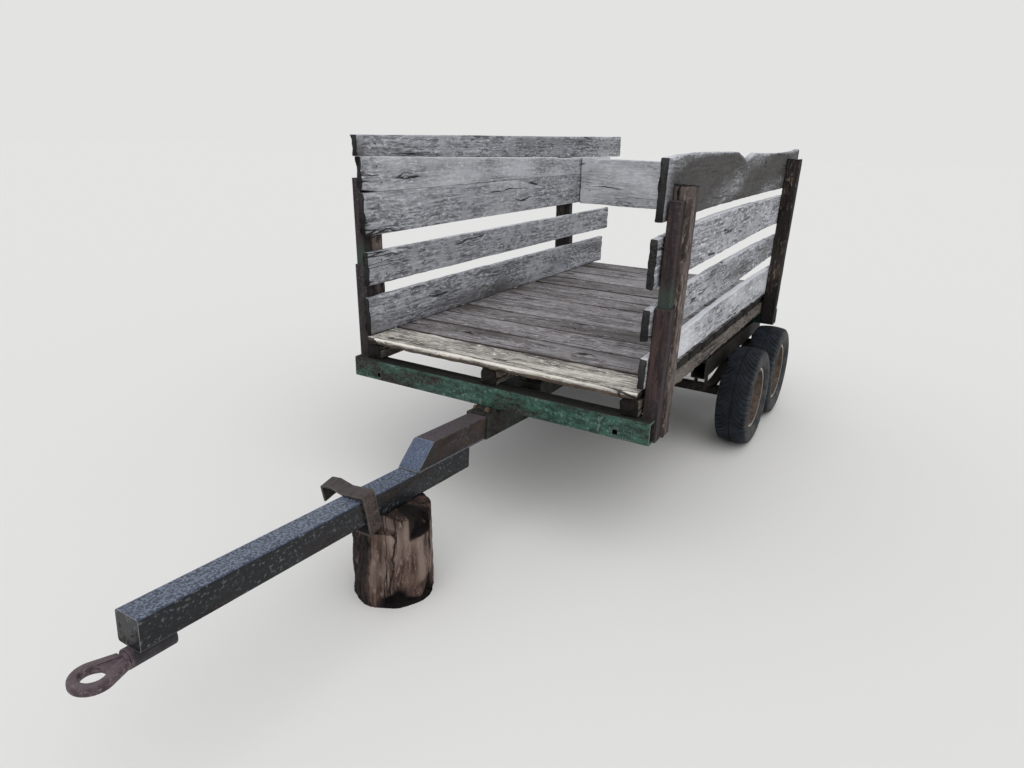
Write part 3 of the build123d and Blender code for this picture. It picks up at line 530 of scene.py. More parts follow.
# %% The timber
def timber(name, axes, span, low, high, near, far, material, seed, corner=0.005, step=0.014,
           edge_wave=0.002, face_wave=0.001, ragged=0.006, damp=(0.0, 0.0, 0.0), ends=(0.0, 0.0),
           under=0.0, turn=0.0):
    """One worn board. axes gives the world axis of its length, width and thickness; low and high
    are functions of the place along it, near and far are its two faces. damp is the wetness of
    its face and of its low and high edge, ends what is added near its start and its end, and
    the underside's painted shade what is added to the damp towards its near face."""
    start, stop = span
    count = round((stop - start) / step)
    near_end, even_from = np.array([0.0, 0.002, 0.006, 0.014]), 0.026
    along = np.concatenate([start + near_end,
                            np.linspace(start + even_from, stop - even_from, count),
                            stop - near_end[::-1]])
    bottom, top = low(along)[:, None], high(along)[:, None]
    p, q = section_places(float(np.mean(top - bottom)), far - near, corner, step)
    half_v, half_w = (top - bottom) / 2, (far - near) / 2

    # Round the corners, more in some places than in others
    line = np.stack([along, 0 * along, 0 * along], axis=1)
    radius = np.zeros((len(along), len(p)))
    for quarter, (sign_p, sign_q) in enumerate(((-1, -1), (1, -1), (1, 1), (-1, 1))):
        here = (np.sign(p + 1e-9) == sign_p) & (np.sign(q + 1e-9) == sign_q)
        bite = corner * (1 + 1.3 * wander(line, (0.06, 1, 1), seed + quarter))
        radius[:, here] = bite[:, None]
    gap_v, gap_w = (1 - abs(p)) * half_v, np.broadcast_to((1 - abs(q)) * half_w, radius.shape)
    reach_v, reach_w = radius - gap_v, radius - gap_w
    reach = np.hypot(reach_v, reach_w) + 1e-9
    at_corner = (reach_v > 0) & (reach_w > 0)
    gap_v = np.where(at_corner, radius - radius * reach_v / reach, gap_v)
    gap_w = np.where(at_corner, radius - radius * reach_w / reach, gap_w)
    v = (top + bottom) / 2 + np.sign(p) * (half_v - gap_v)
    w = (near + far) / 2 + np.sign(q) * (half_w - gap_w)
    u = np.broadcast_to(along[:, None], v.shape).copy()

    # Let the edges wander and the faces ripple, always inwards of the sawn size
    points = np.stack([u, v, w], axis=2).reshape(-1, 3)
    face_share, edge_share = 0.55, 0.45
    edge = np.clip((abs(p) - face_share) / edge_share, 0, 1) ** 2
    slow = wander(points * (1, 0.2, 0.2), (0.17, 1, 1), seed + 11).reshape(v.shape)
    quick = wander(points, (0.024, 0.05, 0.03), seed + 17).reshape(v.shape)
    v = v - edge * np.sign(p) * edge_wave * np.clip(0.5 + 1.2 * slow + 0.4 * quick, 0, 2)
    ripple = wander(points, (0.35, 0.045, 1.0), seed + 23).reshape(v.shape)
    w = w - np.sign(q) * face_wave * (0.6 + ripple) * (abs(q) > 0.5)

    # Eat the ends back over the last 20 mm
    end_zone = 0.02
    bite = 0.5 + wander(points * (0, 1, 1), (1, 0.03, 0.02), seed + 31).reshape(v.shape)
    bite = np.maximum(bite + 0.3, 0)
    u = u + ragged * bite * (np.exp(-(u - start) / end_zone) - np.exp(-(stop - u) / end_zone))

    # Grain, end grain and damp, for the material
    rings = np.empty(v.shape + (3,))
    for axis, values in zip(axes, (u, v, w)):
        rings[..., axis] = values
    shift = np.array([noise.noise((seed * 3.7, k * 9.1, 0.5)) * 40 for k in range(3)])
    from_end = np.broadcast_to(np.minimum(along - start, stop - along)[:, None], v.shape)
    rim_low, rim_high = [np.clip(sign * p, 0, 1) ** 24 for sign in (-1, 1)]
    cloud = wander(points, (0.5, 0.12, 1.0), seed + 41).reshape(v.shape)
    wet = damp[0] + 0.55 * cloud + rim_low * damp[1] + rim_high * damp[2]
    soaked = 0.12
    wet = wet + ends[0] * np.exp((start - u) / soaked) + ends[1] * np.exp((u - stop) / soaked)
    # Painted shade: the damp is raised towards the near face, which darkens the front plank towards
    # its underside
    wet = wet + under * np.clip(0.62 - q, 0, 1)
    end_grain = 0.004
    attributes = {"grain": np.stack([u, v, w], axis=2) + shift,
                  "end": (np.clip(1 - from_end / end_grain, 0, 1) ** 0.6)[..., None],
                  "reach": from_end[..., None], "damp": wet[..., None]}
    return loft(name, swing(rings, -turn), attributes, material)


print("timber ready")

# %% [markdown]
# ## Side boards
# Five boards stand on the right and four on the left, sawn from uneven trunks. Their outlines are
# read from the solids, so each worn board follows the one it replaces. The lengthwise axis is X,
# the height is Z and the thickness is Y, which the loft knows as axes 0, 2 and 1. Two of them have
# a bite out of an edge, each given by its place, half width and depth.

# %% Outlines read from the solids
def outline(name, turn, bites=()):
    """Span, lower and upper edge as functions of X, and near and far face, of an upright board."""
    places = points_of(name, turn)
    middle = (places[:, 2].min() + places[:, 2].max()) / 2
    edges = []
    for part in (places[places[:, 2] < middle], places[places[:, 2] >= middle]):
        part = part[np.argsort(part[:, 0])]
        x_values, first = np.unique(part[:, 0].round(5), return_index=True)
        edges.append((x_values, part[first, 2]))

    def bitten(index, kind, inwards):
        return lambda x: np.interp(x, *edges[index]) + inwards * sum(
            [depth * np.clip(1 - abs(x - at) / half, 0, 1)
             for edge, at, half, depth in bites if edge == kind], 0 * x)

    span = (places[:, 0].min(), places[:, 0].max())
    near, far = places[:, 1].min(), places[:, 1].max()
    return span, bitten(0, "low", 1), bitten(1, "high", -1), near, far


board_bites = {"right_board_4": [("low", 0.58, 0.11, 0.016)],
               "left_board_4": [("high", -0.60, 0.17, 0.036)]}
# Wetness of the face, of the low and high edge, and near the rear and the front end
board_damp = {"right_board_1": (0.22, 0.3, -0.3, 0.0, 0.2),
              "right_board_2": (0.0, 0.1, -0.5, 0.1, 0.2),
              "right_board_3": (-0.16, 0.1, 0.0, 0.1, 0.4),
              "right_board_4": (-0.42, 0.0, -0.2, 0.1, 0.4),
              "right_board_5": (0.18, 0.0, -0.7, 0.2, 0.3),
              "left_board_1": (-0.32, 0.1, -0.6, 0.1, 0.1),
              "left_board_2": (0.24, 0.1, -0.6, 0.1, 0.1),
              "left_board_3": (0.02, 0.1, -0.6, 0.1, 0.0),
              "left_board_4": (0.74, 0.1, -0.9, 0.1, -0.3)}
# The three upper right boards touch, so their edges are hardly worn
tight = {"corner": 0.002, "edge_wave": 0.0004}
for seed, (name, wetness) in enumerate(board_damp.items()):
    turn = lean if name.startswith("left") else -lean
    edges = tight if name in ("right_board_3", "right_board_4", "right_board_5") else {}
    worn = timber("worn_" + name, (0, 2, 1), *outline(name, turn, board_bites.get(name, ())),
                  silver_board, seed, ragged=0.012, damp=wetness[:3], ends=wetness[3:], turn=turn,
                  **edges)
    stand_in(name)
print(len(board_damp), "side boards, the last with", len(worn.data.polygons), "faces")

# %% [markdown]
# ## Bed planks, bearers and the cross board
# The bed is laid crosswise on three lengthwise bearers. One node holds all the planks but the
# front one, so its separate solids are found by joining faces that touch, and each is lofted
# along Y. The front plank is half rotten: its corners are rounder, its upper side is bleached to
# cream and its underside is eaten into waves, and painted shade darkens it towards the underside.

# %% Planks of the bed
def welded(name):
    """A solid's mesh, with the points where its faces meet made one."""
    work = bmesh.new()
    work.from_mesh(solids[name].data)
    bmesh.ops.remove_doubles(work, verts=work.verts, dist=0.00001)
    return work


def separate_boxes(name):
    """Boxes round the separate solids inside one node."""
    work = welded(name)
    waiting, boxes = set(work.verts), []
    while waiting:
        group, rim = set(), [waiting.pop()]
        while rim:
            vert = rim.pop()
            group.add(vert)
            for link in vert.link_edges:
                other = link.other_vert(vert)
                if other in waiting:
                    waiting.discard(other)
                    rim.append(other)
        places = np.array([v.co for v in group])
        boxes.append((places.min(axis=0), places.max(axis=0)))
    work.free()
    return sorted(boxes, key=lambda pair: -pair[0][0])


def level(value):
    """A function that gives the same value all along a timber."""
    return lambda along: np.full(np.shape(along), float(value))


def box_timber(name, axes, lowest, highest, material, seed, **wear):
    """A timber that fills a box, its length, width and thickness along the given axes."""
    a, b, c = axes
    return timber(name, axes, (lowest[a], highest[a]), level(lowest[b]), level(highest[b]),
                  lowest[c], highest[c], material, seed, **wear)


def join(name, pieces):
    """Make several pieces one object, as they share a node."""
    with bpy.context.temp_override(active_object=pieces[0], object=pieces[0],
                                   selected_editable_objects=pieces, selected_objects=pieces):
        bpy.ops.object.join()
    pieces[0].name = name
    pieces[0].data.name = name
    return pieces[0]


planks = []
plank_damp = (0.2, -0.1, 0.35, 0.0, -0.1, 0.3, 0.1, 0.4, -0.15, 0.1, 0.2)
for seed, (lowest, highest) in enumerate(separate_boxes("bed_planks")):
    planks.append(box_timber(f"plank_{seed}", (1, 0, 2), lowest, highest, grey_bed, 40 + seed,
                             corner=0.002, edge_wave=0.0008, face_wave=0.001,
                             damp=(plank_damp[seed % len(plank_damp)], 0.7, 0.7),
                             ends=(0.3, 0.3)))
bed = join("worn_bed_planks", planks)
stand_in("bed_planks")
front_low, front_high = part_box("bed_plank_front")
# The front plank's damp is raised towards its underside, as painted shade
front_plank = box_timber("worn_bed_plank_front", (1, 0, 2), front_low, front_high, cream_plank, 60,
                         corner=0.009, edge_wave=0.005, face_wave=0.003, step=0.011,
                         damp=(-0.1, 0.6, -0.6), under=1.9)
stand_in("bed_plank_front")
print(len(planks) + 1, "bed planks with", len(bed.data.polygons), "faces")

# %% Bearers, cross board and posts
for seed, side in enumerate(("left", "centre", "right")):
    name = "bearer_" + side
    bearer = box_timber("worn_" + name, (0, 1, 2), *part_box(name), dark_bearer, 70 + seed,
                        corner=0.012, ragged=0.008, damp=(0.3, -0.2, -0.2), ends=(0.0, -0.2))
    stand_in(name)
places = points_of("rear_cross_board")
lowest, highest = places.min(axis=0), places.max(axis=0)
lowest[1] = places[places[:, 2] < (lowest[2] + highest[2]) / 2][:, 1].min()
cross = box_timber("worn_rear_cross_board", (1, 2, 0), lowest, highest, silver_board, 80,
                   edge_wave=0.004, ragged=0.006, damp=(-0.35, 0.1, -0.5), ends=(-0.3, -0.3))
stand_in("rear_cross_board")
for seed, corner_name in enumerate(corners):
    name = "wooden_post_" + corner_name
    turn = lean if corner_name.endswith("left") else -lean
    places = points_of(name, turn)
    wood, wetness = brown_post, (0.25, 0.0, -0.1)
    if corner_name.startswith("rear"):
        wood, wetness = black_post, (0.7, 0.4, -0.2)
    post = box_timber("worn_" + name, (2, 0, 1), places.min(axis=0), places.max(axis=0), wood,
                      90 + seed, corner=0.005, edge_wave=0.0025, ragged=0.008, step=0.011,
                      damp=wetness, ends=(0.4, 0.3), turn=turn)
    stand_in(name)
print("bearers, cross board and posts lofted")

# %% [markdown]
# ## Tyres
# The tread has a groove round its middle, and V-shaped cuts that lead up to it at the front. A
# tyre could be drawn as one block and repeated, but the cuts lean, so here the whole mesh leans
# with them: it is a grid of rows across the tyre and columns round it, where each row is turned a
# little further than the last. The cuts then run along the grid and stay sharp. Each row has a
# place across, a radius and the depth of a groove round the tyre, in millimetres, and the share of
# a cross cut's depth that shows there.

# %% Rows across a tyre
tyre_radius_mm, crown_mm, shoulder_mm, belly_mm = 289.0, 9.0, 77.5, 95.0
bead_mm, bead_radius_mm, flange_mm, wall_mm = 69.7, 165.3, 179.0, 12.0
axle_height = tyre_radius_mm * mm
cuts_round, cut_lean, cut_depth_mm = 56, 0.29, 7.0


def circle_through(a, b, c):
    """Centre and radius of the circle through three points of a plane."""
    (ax, ay), (bx, by), (cx, cy) = a, b, c
    left = np.array([[bx - ax, by - ay], [cx - ax, cy - ay]]) * 2
    right = np.array([bx * bx + by * by - ax * ax - ay * ay, cx * cx + cy * cy - ax * ax - ay * ay])
    middle = np.linalg.solve(left, right)
    return middle, float(np.hypot(*(np.array(a) - middle)))


belly_height = (bead_radius_mm + tyre_radius_mm) / 2 - 4
belly_centre, belly_bend = circle_through((bead_mm, flange_mm), (belly_mm, belly_height),
                                          (shoulder_mm, tyre_radius_mm - crown_mm))


def belly(radius, sunk=0.0):
    """Place across the sidewall at a radius, less a depth below its surface."""
    return belly_centre[0] + sqrt(belly_bend ** 2 - (radius - belly_centre[1]) ** 2) - sunk


half_rows = [(0.0, cut_depth_mm, 0), (2.2, cut_depth_mm, 0), (2.9, 0.0, 0)]
half_rows += [(y, 0.0, 1) for y in (3.4, 9, 16, 23, 30, 37, 44, 51, 59, 67, 73.5)]
half_rows = [(y, tyre_radius_mm - crown_mm * (y / shoulder_mm) ** 2 - 0.2, deep, cut)
             for y, deep, cut in half_rows]
half_rows += [(shoulder_mm - 0.8, 279.2, 0, 1), (belly(275), 274.5, 0, 0.8),
              (belly(268), 268, 0, 0.6), (belly(261), 261, 0, 0.4)]
# Rings in the sidewall: a radius, and how far the wall is sunk there
ring_rows = ((256, 0.3), (255, 1.6), (247, 1.6), (246, 0.3), (236, 0.2), (226, 0.2), (216, 0.2),
             (210, 0.2), (209, 1.4), (206, 1.4), (205, 0.2), (196, 0.2), (188, 0.2), (187, 1.8),
             (180, 1.6))
half_rows += [(belly(radius, sunk), radius, 0, 0) for radius, sunk in ring_rows]
half_rows += [(bead_mm - 0.4, 176, 0, 0), (bead_mm - 0.2, bead_radius_mm + 0.3, 0, 0)]
# The inside of the tyre
half_rows += [(bead_mm - wall_mm, bead_radius_mm + 0.3, 0, 0), (bead_mm - wall_mm, 180, 0, 0),
              (belly(223, wall_mm), 223, 0, 0), (shoulder_mm - wall_mm, 266, 0, 0)]
tyre_rows = [(-y, *rest) for y, *rest in half_rows[:0:-1]] + half_rows
print(len(tyre_rows), "rows across a tyre")

# %% The tyre mesh
tread_edge_mm, wall_start_mm, wall_blend_mm = 265, 284, 14
# From one cut to the next: the share of the way, and the depth there
cut_steps = ((0.0, 0.0), (0.04, 1.0), (0.22, 1.0), (0.26, 0.0), (0.41, 0.0), (0.56, 0.0),
             (0.585, 0.6), (0.64, 0.6), (0.665, 0.0), (0.83, 0.0))


def tread_tyre(name, centre, body):
    """One tyre at its place, with its cuts and rings in the mesh."""
    across, radius, groove, cut = np.array(tyre_rows).T
    lean_back = -cut_lean * np.sin(np.clip(abs(across) / 80, 0, 1) * pi / 2)
    share, depth = np.array(cut_steps).T
    turn = (np.arange(cuts_round)[:, None] + share[None, :]).ravel() * tau / cuts_round
    depth = np.tile(depth, cuts_round)
    sunk = np.maximum(groove[:, None], cut_depth_mm * cut[:, None] * depth[None, :])
    on_tread = radius > tread_edge_mm
    reach = radius[:, None] - np.where(on_tread[:, None], sunk, 0.0)
    inward = np.where(on_tread[:, None], 0.0, 0.45 * sunk)
    place_y = across[:, None] - np.sign(across)[:, None] * inward
    start_angle = centre[0] * 5
    angle = turn[None, :] + lean_back[:, None] + start_angle
    rings = np.stack([centre[0] + reach * mm * np.cos(angle), centre[1] + place_y * mm,
                      centre[2] + reach * mm * np.sin(angle)], axis=-1)
    mesh = bpy.data.meshes.new(name)
    mesh.from_pydata(rings.reshape(-1, 3).tolist(), [], quads(*rings.shape[:2], closed=True))
    wall = np.clip((wall_start_mm - radius[:, None]) / wall_blend_mm, 0, 1)
    layers = {"groove": sunk / cut_depth_mm, "wall": np.broadcast_to(wall, sunk.shape)}
    return settle(name, mesh, tyre_rubber, body, layers, sharp=32)


print(cuts_round, "cuts lean by", cut_lean, "of a radian")

# %% [markdown]
# Tyre rubber is black when new. Years of sun turn its top blue-grey, dust fills the grooves of the
# sidewall, and the bottoms of the cuts stay black, with painted shade laid in them that makes them
# darker than new rubber. It is never metallic, and quite rough.

# %% Tyre rubber
tyre_rubber, tree, shader = new_material("sunned_tyre_rubber")
place = add(tree, "TexCoord", output="Object")
groove, wall = [add(tree, "Attribute", output="Fac", attribute_name=key)
                for key in ("groove", "wall")]
cloud, grit = [add(tree, "TexNoise", {"Vector": place, "Scale": per_metre(size),
                                      "Detail": detail, "Roughness": rough})
               for size, detail, rough in ((60, 5.0, 0.65), (4, 4.0, 0.7))]
dusty = add(tree, "Math", {0: cloud, 1: wall}, operation="MULTIPLY")
# The last coat, near black in the cuts, is painted shade over the unfaded rubber
tone = lay(tree, "#0F151B", ("#232B35", cloud, 0.40, 0.62), ("#2F3337", wall, 0.2, 1.0, 0.7),
           ("#4A4F56", grit, 0.55, 0.70, 0.4), ("#5A554C", dusty, 0.42, 0.62, 0.5),
           ("#050608", groove, 0.05, 0.7, 0.95))
relief = add(tree, "Bump", {"Height": grit, "Strength": 0.35, "Distance": 0.6 * mm})
fill(tree, shader, {"Base Color": tone, "Normal": relief, "Roughness": 0.72, "IOR": 1.52,
                    "Specular IOR Level": 0.3})
print("rubber ready")

# %% [markdown]
# ## Wheel enamel
# The wheels were sprayed in a cream enamel. Only the outer lip is still pale, where the tyre wipes
# it clean. Inwards the coat is stained brown and the disc has rusted, and the brown also stands
# for painted shade inside the wheel. So this finish changes with the distance from the wheel's
# axle, which needs the axle's place as a value of its own.

# %% Rusty cream wheels
def middle_of(name, axis):
    """Middle of a solid along one axis."""
    lowest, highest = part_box(name)
    return (lowest[axis] + highest[axis]) / 2


def wheel_enamel(name, axle_x):
    """Cream at the lip, and brown inwards with stain, rust and painted shade, round an axle at
    axle_x.
    """
    cream_from, brown_to = 0.193, 0.183
    material, tree, shader = new_material(name)
    place = add(tree, "TexCoord", output="Object")
    flat = add(tree, "VectorMath", {0: place, 1: (1.0, 0.0, 1.0)}, operation="MULTIPLY")
    radius = add(tree, "VectorMath", {0: flat, 1: (axle_x, 0.0, axle_height)}, output="Value",
                 operation="DISTANCE")
    cloud, grit = [add(tree, "TexNoise", {"Vector": place, "Scale": per_metre(size),
                                          "Detail": detail, "Roughness": rough})
                   for size, detail, rough in ((45, 6.0, 0.68), (6, 4.0, 0.7))]
    # Brown inwards is stain and rust, and also painted shade of the wheel's inside
    stain_and_shade = lay(tree, "#5A4639", ("#3A2A22", cloud, 0.42, 0.60),
                ("#8C7F6E", grit, 0.54, 0.66, 0.55))
    ragged = add(tree, "Math", {0: cloud, 1: 0.035, 2: radius}, operation="MULTIPLY_ADD")
    tone = lay(tree, "#CFCABF", ("#A59C8E", cloud, 0.45, 0.60),
               (stain_and_shade, ragged, cream_from, brown_to, 0.92), ("#6A4A38", grit, 0.58, 0.68, 0.6))
    bump = add(tree, "Bump", {"Height": grit, "Strength": 0.5, "Distance": 1.0 * mm})
    fill(tree, shader, {"Base Color": tone, "Normal": bump, "Roughness": 0.62, "IOR": 1.5})
    return material


for row in ("front", "rear"):
    enamel = wheel_enamel(f"cream_{row}_wheel_enamel", middle_of(f"rim_{row}_left", 0))
    dress(enamel, f"rim_{row}_left", f"rim_{row}_right")
print("wheels enamelled")

# %% Put the tyres on
for corner_name in corners:
    low_corner, high_corner = (np.array(c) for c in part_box("tyre_" + corner_name))
    worn = tread_tyre("tread_tyre_" + corner_name, (low_corner + high_corner) / 2,
                      "wheel_" + corner_name)
    stand_in("tyre_" + corner_name)
print("four tyres of", len(worn.data.polygons), "faces")

# %% [markdown]
# ## The log
# The drawbar rests on a piece of rotten trunk, cut level at the top, with a wedge out of its edge
# and a lower step in front. Its solid has those big forms. A voxel remesh spreads even faces over
# a copy of it, and each point is then pushed inwards: a little for the ribs of the bare wood, more
# for the hollows that rot has eaten near the ground on the side that faces the trailer's left, and
# a long crack where a dark strip of the front starts.

# %% Remesh and carve the log
log_work = welded("prop_log")
log_shape = bpy.data.meshes.new("log_shape")
log_work.to_mesh(log_shape)
log_work.free()
log_source = bpy.data.objects.new("log_source", log_shape)
bpy.context.scene.collection.objects.link(log_source)
even = log_source.modifiers.new("even_faces", "REMESH")
even.mode = "VOXEL"
even.voxel_size = 5.5 * mm
log_mesh = bpy.data.meshes.new_from_object(
    log_source.evaluated_get(bpy.context.evaluated_depsgraph_get()))
bpy.data.objects.remove(log_source)

count = len(log_mesh.vertices)
places, normals = np.empty(count * 3), np.empty(count * 3)
log_mesh.vertices.foreach_get("co", places)
log_mesh.vertices.foreach_get("normal", normals)
places, normals = places.reshape(-1, 3), normals.reshape(-1, 3)
log_low, log_high = (np.array(c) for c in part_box("prop_log"))
heart = (log_low + log_high) / 2
from_heart = places - heart
angle = np.arctan2(from_heart[:, 1], from_heart[:, 0])
radius = np.hypot(from_heart[:, 0], from_heart[:, 1])
height = places[:, 2]
sideways = np.clip(1.3 - 1.6 * abs(normals[:, 2]), 0, 1) * np.clip((radius - 0.06) / 0.06, 0, 1)
upward = np.clip((normals[:, 2] - 0.35) / 0.3, 0, 1)
rib = wander(places, (0.009, 0.009, 0.11), 3)
lump = wander(places, (0.045, 0.045, 0.16), 5)
flake = wander(places, (0.016, 0.016, 0.035), 9)
dark_from, dark_to, rot_way, wedge_way = (radians(degrees) for degrees in (8, -55, 72, 88))
dark_start = dark_from + 0.10 * wander(places * (0, 0, 1), (1, 1, 0.11), 2)
dark_start = dark_start + 0.05 * wander(places, (0.5, 0.5, 0.018), 4)
strip = np.clip((dark_start - angle) / 0.06, 0, 1) * np.clip((angle - dark_to) / 0.1, 0, 1)
crack = np.exp(-((angle - dark_start) / 0.045) ** 2)
rotten = np.clip((np.cos(angle - rot_way) - 0.55) / 0.25, 0, 1)
rot_height = 0.085 + 0.04 * wander(places, (0.09, 0.09, 9), 6)
near_ground = np.clip(1.25 - height / rot_height, 0, 1)
hollow = rotten * near_ground * np.clip(0.75 + 1.6 * wander(places, (0.06, 0.06, 0.08), 7), 0, 1.3)
depth_mm = 5.0 + 4.5 * rib + 7 * lump + 4 * flake + 8 * crack + 40 * hollow
depth = np.clip(depth_mm + 4 * strip * (1 + 2 * flake), 0.4, 50) * mm * sideways
out = from_heart / np.maximum(radius, 0.02)[:, None]
places[:, :2] -= out[:, :2] * depth[:, None]
places[:, 2] -= upward * (1.5 + 2.5 * (rib + flake + 0.5)) * mm
places = np.clip(places, log_low + 0.2 * mm, log_high - 0.2 * mm)
log_mesh.vertices.foreach_set("co", places.ravel())
print(count, "points on the log, deepest cut", round(float(depth.max()), 3))

# %% Grain and damp of the log
wedge_depth, wedge_radius = 0.11, 0.168
wedge = np.clip((np.cos(angle - wedge_way) - 0.90) / 0.03, 0, 1)
wedge = wedge * np.clip((height - log_high[2] + wedge_depth) / 0.02, 0, 1)
wedge = wedge * np.clip((wedge_radius - radius) / 0.008, 0, 1)
# The hollows and the long crack are laid near black, as end grain is, and the log is made darker
# towards its base, over about its lowest 60 mm
log_layers = {"grain": np.stack([height, angle * 0.17, radius], axis=1),
              "end": np.clip(1.3 * hollow + 0.5 * crack * sideways + wedge, 0, 1),
              "reach": np.clip(log_high[2] - height, 0, 0.3) + 0.05,
              "damp": 0.9 * upward + 0.95 * strip + 0.9 * hollow - 0.30 + 0.9 * lump
              + 0.9 * np.exp(-height / 0.06)}
log = settle("rotten_prop_log", log_mesh, rotten_log, layers=log_layers)
stand_in("prop_log")
print("log carved with", len(log_mesh.polygons), "faces")

# %% [markdown]
# ## Nails, nuts, bolts and welds
# Every small fastening here is a turned shape: a short profile spun round a line. Six sides make a
# nut, more make a nail head, and a profile that swells and shrinks makes the ripples of a weld.
# A nail's seat is found by casting a ray at the worn plank, so that each head sits on its wood.
# Each profile is a list of heights along the line and radii there, in millimetres.

# %% Turned shapes
from mathutils.bvhtree import BVHTree


def turned(profile, sides, place, way, spin=0.0):
    """Points and faces of (height, radius) pairs in mm, spun round a line through place."""
    aim = Vector(way).normalized().to_track_quat("Z", "Y").to_matrix()
    points = []
    for height, radius in profile:
        for k in range(sides):
            angle = spin + k * tau / sides
            local = Vector((radius * cos(angle), radius * sin(angle), height)) * mm
            points.append(tuple(aim @ local + Vector(place)))
    caps = [tuple(range(sides))[::-1], tuple(range(len(points) - sides, len(points)))]
    return points, quads(len(profile), sides) + caps


def cluster(name, shapes, material, body):
    """Make one piece of many turned shapes."""
    points, faces = [], []
    for more_points, more_faces in shapes:
        start = len(points)
        points += more_points
        faces += [tuple(index + start for index in face) for face in more_faces]
    mesh = bpy.data.meshes.new(name)
    mesh.from_pydata(points, [], faces)
    settle(name, mesh, material, body, sharp=38)


def skin(piece):
    """A search tree over a piece's faces."""
    return BVHTree.FromPolygons([v.co for v in piece.data.vertices],
                                [face.vertices for face in piece.data.polygons])


print("turned shapes ready")

# %% Nails
nail_head = [(-1.5, 4.6), (0.2, 4.8), (0.9, 4.2), (1.2, 2.6), (1.3, 0.6)]
# Two nails at each joint: the share of a board's width where each is, and its slip along X
board_nails = ((0.27, -0.017), (0.71, 0.015))
plank_shares, cross_shares, cross_nail_y, nail_stray = (0.24, 0.77), (0.3, 0.72), 0.63, 0.012
nails = []


def drive(tree, start, way):
    """Set one nail where a ray from start meets the wood."""
    spot, normal = tree.ray_cast(Vector(start), Vector(way))[:2]
    if spot is not None:
        facing_out = normal if normal.dot(Vector(way)) < 0 else -normal
        nails.append(turned(nail_head, 10, spot, facing_out))


for name in board_damp:
    side = 1 if name.startswith("left") else -1
    side_name = "left" if side > 0 else "right"
    tree, (lowest, highest) = skin(bpy.data.objects["worn_" + name]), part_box(name)
    for end in ("front", "rear"):
        post_x = middle_of(f"wooden_post_{end}_{side_name}", 0)
        for share, slip in board_nails:
            nail_z = lowest[2] + share * (highest[2] - lowest[2])
            drive(tree, (post_x + slip, 0.0, nail_z), (0, side, 0))
bed_skin, front_skin = skin(bed), skin(front_plank)
above_bed = front_high[2] + 0.05
for lowest, highest in separate_boxes("bed_planks") + [(front_low, front_high)]:
    for side_name in ("left", "centre", "right"):
        nail_y = middle_of("bearer_" + side_name, 1)
        for share in plank_shares:
            nail_x = lowest[0] + share * (highest[0] - lowest[0])
            wobble = nail_stray * noise.noise((nail_x * 31, nail_y * 17, 0.3))
            tree = front_skin if highest[0] > front_low[0] + 0.01 else bed_skin
            drive(tree, (nail_x, nail_y + wobble, above_bed), (0, 0, -1))
cross_skin, (cross_low, cross_high) = skin(cross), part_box("rear_cross_board")
for nail_y in (-cross_nail_y, cross_nail_y):
    for share in cross_shares:
        nail_z = cross_low[2] + share * (cross_high[2] - cross_low[2])
        drive(cross_skin, (0.0, nail_y, nail_z), (-1, 0, 0))
cluster("board_and_plank_nails", nails, bolt_rust, chassis)
print(len(nails), "nails")

# %% [markdown]
# Five nuts hold each wheel, on studs that stand on a circle round the hub. Each sits on a conical
# washer, and the stud's end shows in it. A rubber valve stem comes out beside the rim's lip.

# %% Wheel nuts and valves
wheel_y, disc_face, valve_seat = 0.805, 0.0185, 0.837
nuts_on_wheel, stud_circle, first_stud, nut_turn = 5, 0.056, 0.4, 0.7
valve_circle, valve_angle = 0.1525, 2.2
washer = [(-1, 13.2), (1.4, 12.8), (2.2, 11.6)]
nut = [(1.8, 10.9), (9.8, 10.9), (11.2, 9.7)]
stud = [(10, 6.0), (15.0, 6.0), (16.2, 5.0)]
valve = [(-9, 6.5), (6, 6.0), (8, 4.4), (22, 4.0), (22.5, 4.6), (33, 4.6), (34, 3.8)]


def on_wheel(corner_name, circle, angle, out):
    """Place on a circle round a wheel's axle, so far out, and the way out from there."""
    side = 1 if corner_name.endswith("left") else -1
    axle_x = middle_of("rim_" + corner_name, 0)
    return ((axle_x + circle * cos(angle), side * out, axle_height + circle * sin(angle)),
            (0, side, 0))


for corner_name in corners:
    shapes = []
    for k in range(nuts_on_wheel):
        seat = on_wheel(corner_name, stud_circle, first_stud + k * tau / nuts_on_wheel,
                        wheel_y + disc_face)
        shapes += [turned(washer, 20, *seat), turned(nut, 6, *seat, spin=k * nut_turn),
                   turned(stud, 12, *seat)]
    cluster("wheel_nuts_" + corner_name, shapes, bolt_rust, "wheel_" + corner_name)
    seat = on_wheel(corner_name, valve_circle, valve_angle, valve_seat)
    cluster("valve_stem_" + corner_name, [turned(valve, 14, *seat)], tyre_rubber,
            "wheel_" + corner_name)
print(nuts_on_wheel * len(corners), "wheel nuts and", len(corners), "valves")

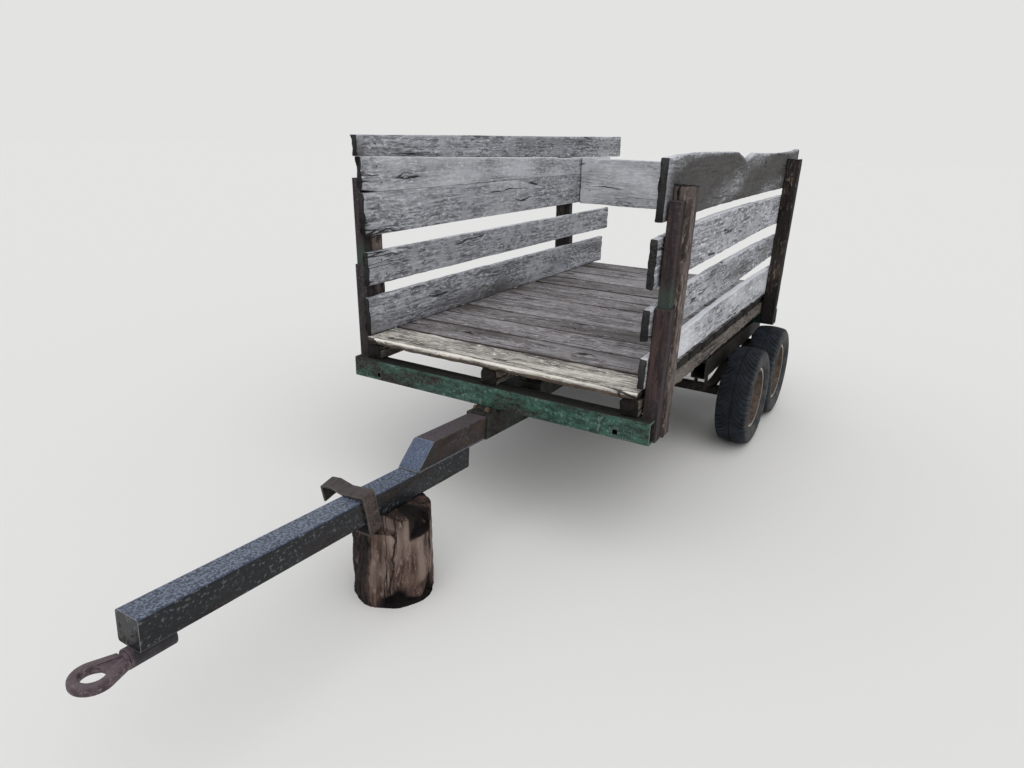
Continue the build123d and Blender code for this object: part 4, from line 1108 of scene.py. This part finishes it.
# %% [markdown]
# The upper tube of the drawbar is welded along the lower one, and the eye's sleeve under the
# nose. A weld is a row of small overlapping scales, one for each moment that the rod stood still,
# so its profile rises and falls every 6 mm. Places are taken along the bar, which climbs 3.4
# degrees towards the eye: `on_bar` turns a distance along it, a distance to the side and a height
# above the upper tube's middle into a place in the frame. The lower tube's top is 50 mm under that
# middle, and its underside is at 150.

# %% Welds and the socket's bolt
climb, bar_start = radians(3.4), Vector((0.604316, 0.0, 0.484655))
bar_way = Vector((cos(climb), 0, sin(climb)))
bar_top_way = Vector((-sin(climb), 0, cos(climb)))


def on_bar(along, aside, rise):
    """Place in the frame of a point given in mm along, beside and above the drawbar."""
    return bar_start + bar_way * along * mm + Vector((0, aside * mm, 0)) + bar_top_way * rise * mm


def weld(start, end, radius):
    """A rippled bead between two places."""
    way = Vector(end) - Vector(start)
    steps = np.arange(0, way.length / mm, 1.5)
    swell = [(h, radius * (0.72 + 0.3 * abs(sin(pi * h / 6.0)) + 0.06 * sin(h * 0.9)))
             for h in steps]
    return turned(swell, 8, start, way)


seam, seam_aside, toe, toe_aside = (84, 558), 47, 563, 44
sleeve, sleeve_aside, lug_bolt_at, lug_half, lug_rise = (1612, 1718), 13, 38, 26, 70
tube_top, toe_rise, sleeve_rise = -50, -48, -152
welds = [weld(*[on_bar(at, y, tube_top) for at in seam], 5.0) for y in (-seam_aside, seam_aside)]
welds.append(weld(*[on_bar(toe, y, toe_rise) for y in (-toe_aside, toe_aside)], 4.5))
welds += [weld(*[on_bar(at, y, sleeve_rise) for at in sleeve], 4.5)
          for y in (-sleeve_aside, sleeve_aside)]
cluster("drawbar_welds", welds, bar_paint, chassis)
bolt_head = [(0, 15.5), (1.6, 15.5), (1.8, 13.6), (10.5, 13.6), (12, 12)]
lug_bolt = [turned(bolt_head, 6, on_bar(lug_bolt_at, lug_half * way, lug_rise), (0, way, 0),
                   spin=0.3) for way in (-1, 1)]
cluster("lug_bolt_and_nut", lug_bolt, bolt_rust, chassis)
print(len(welds), "welds and a bolt")
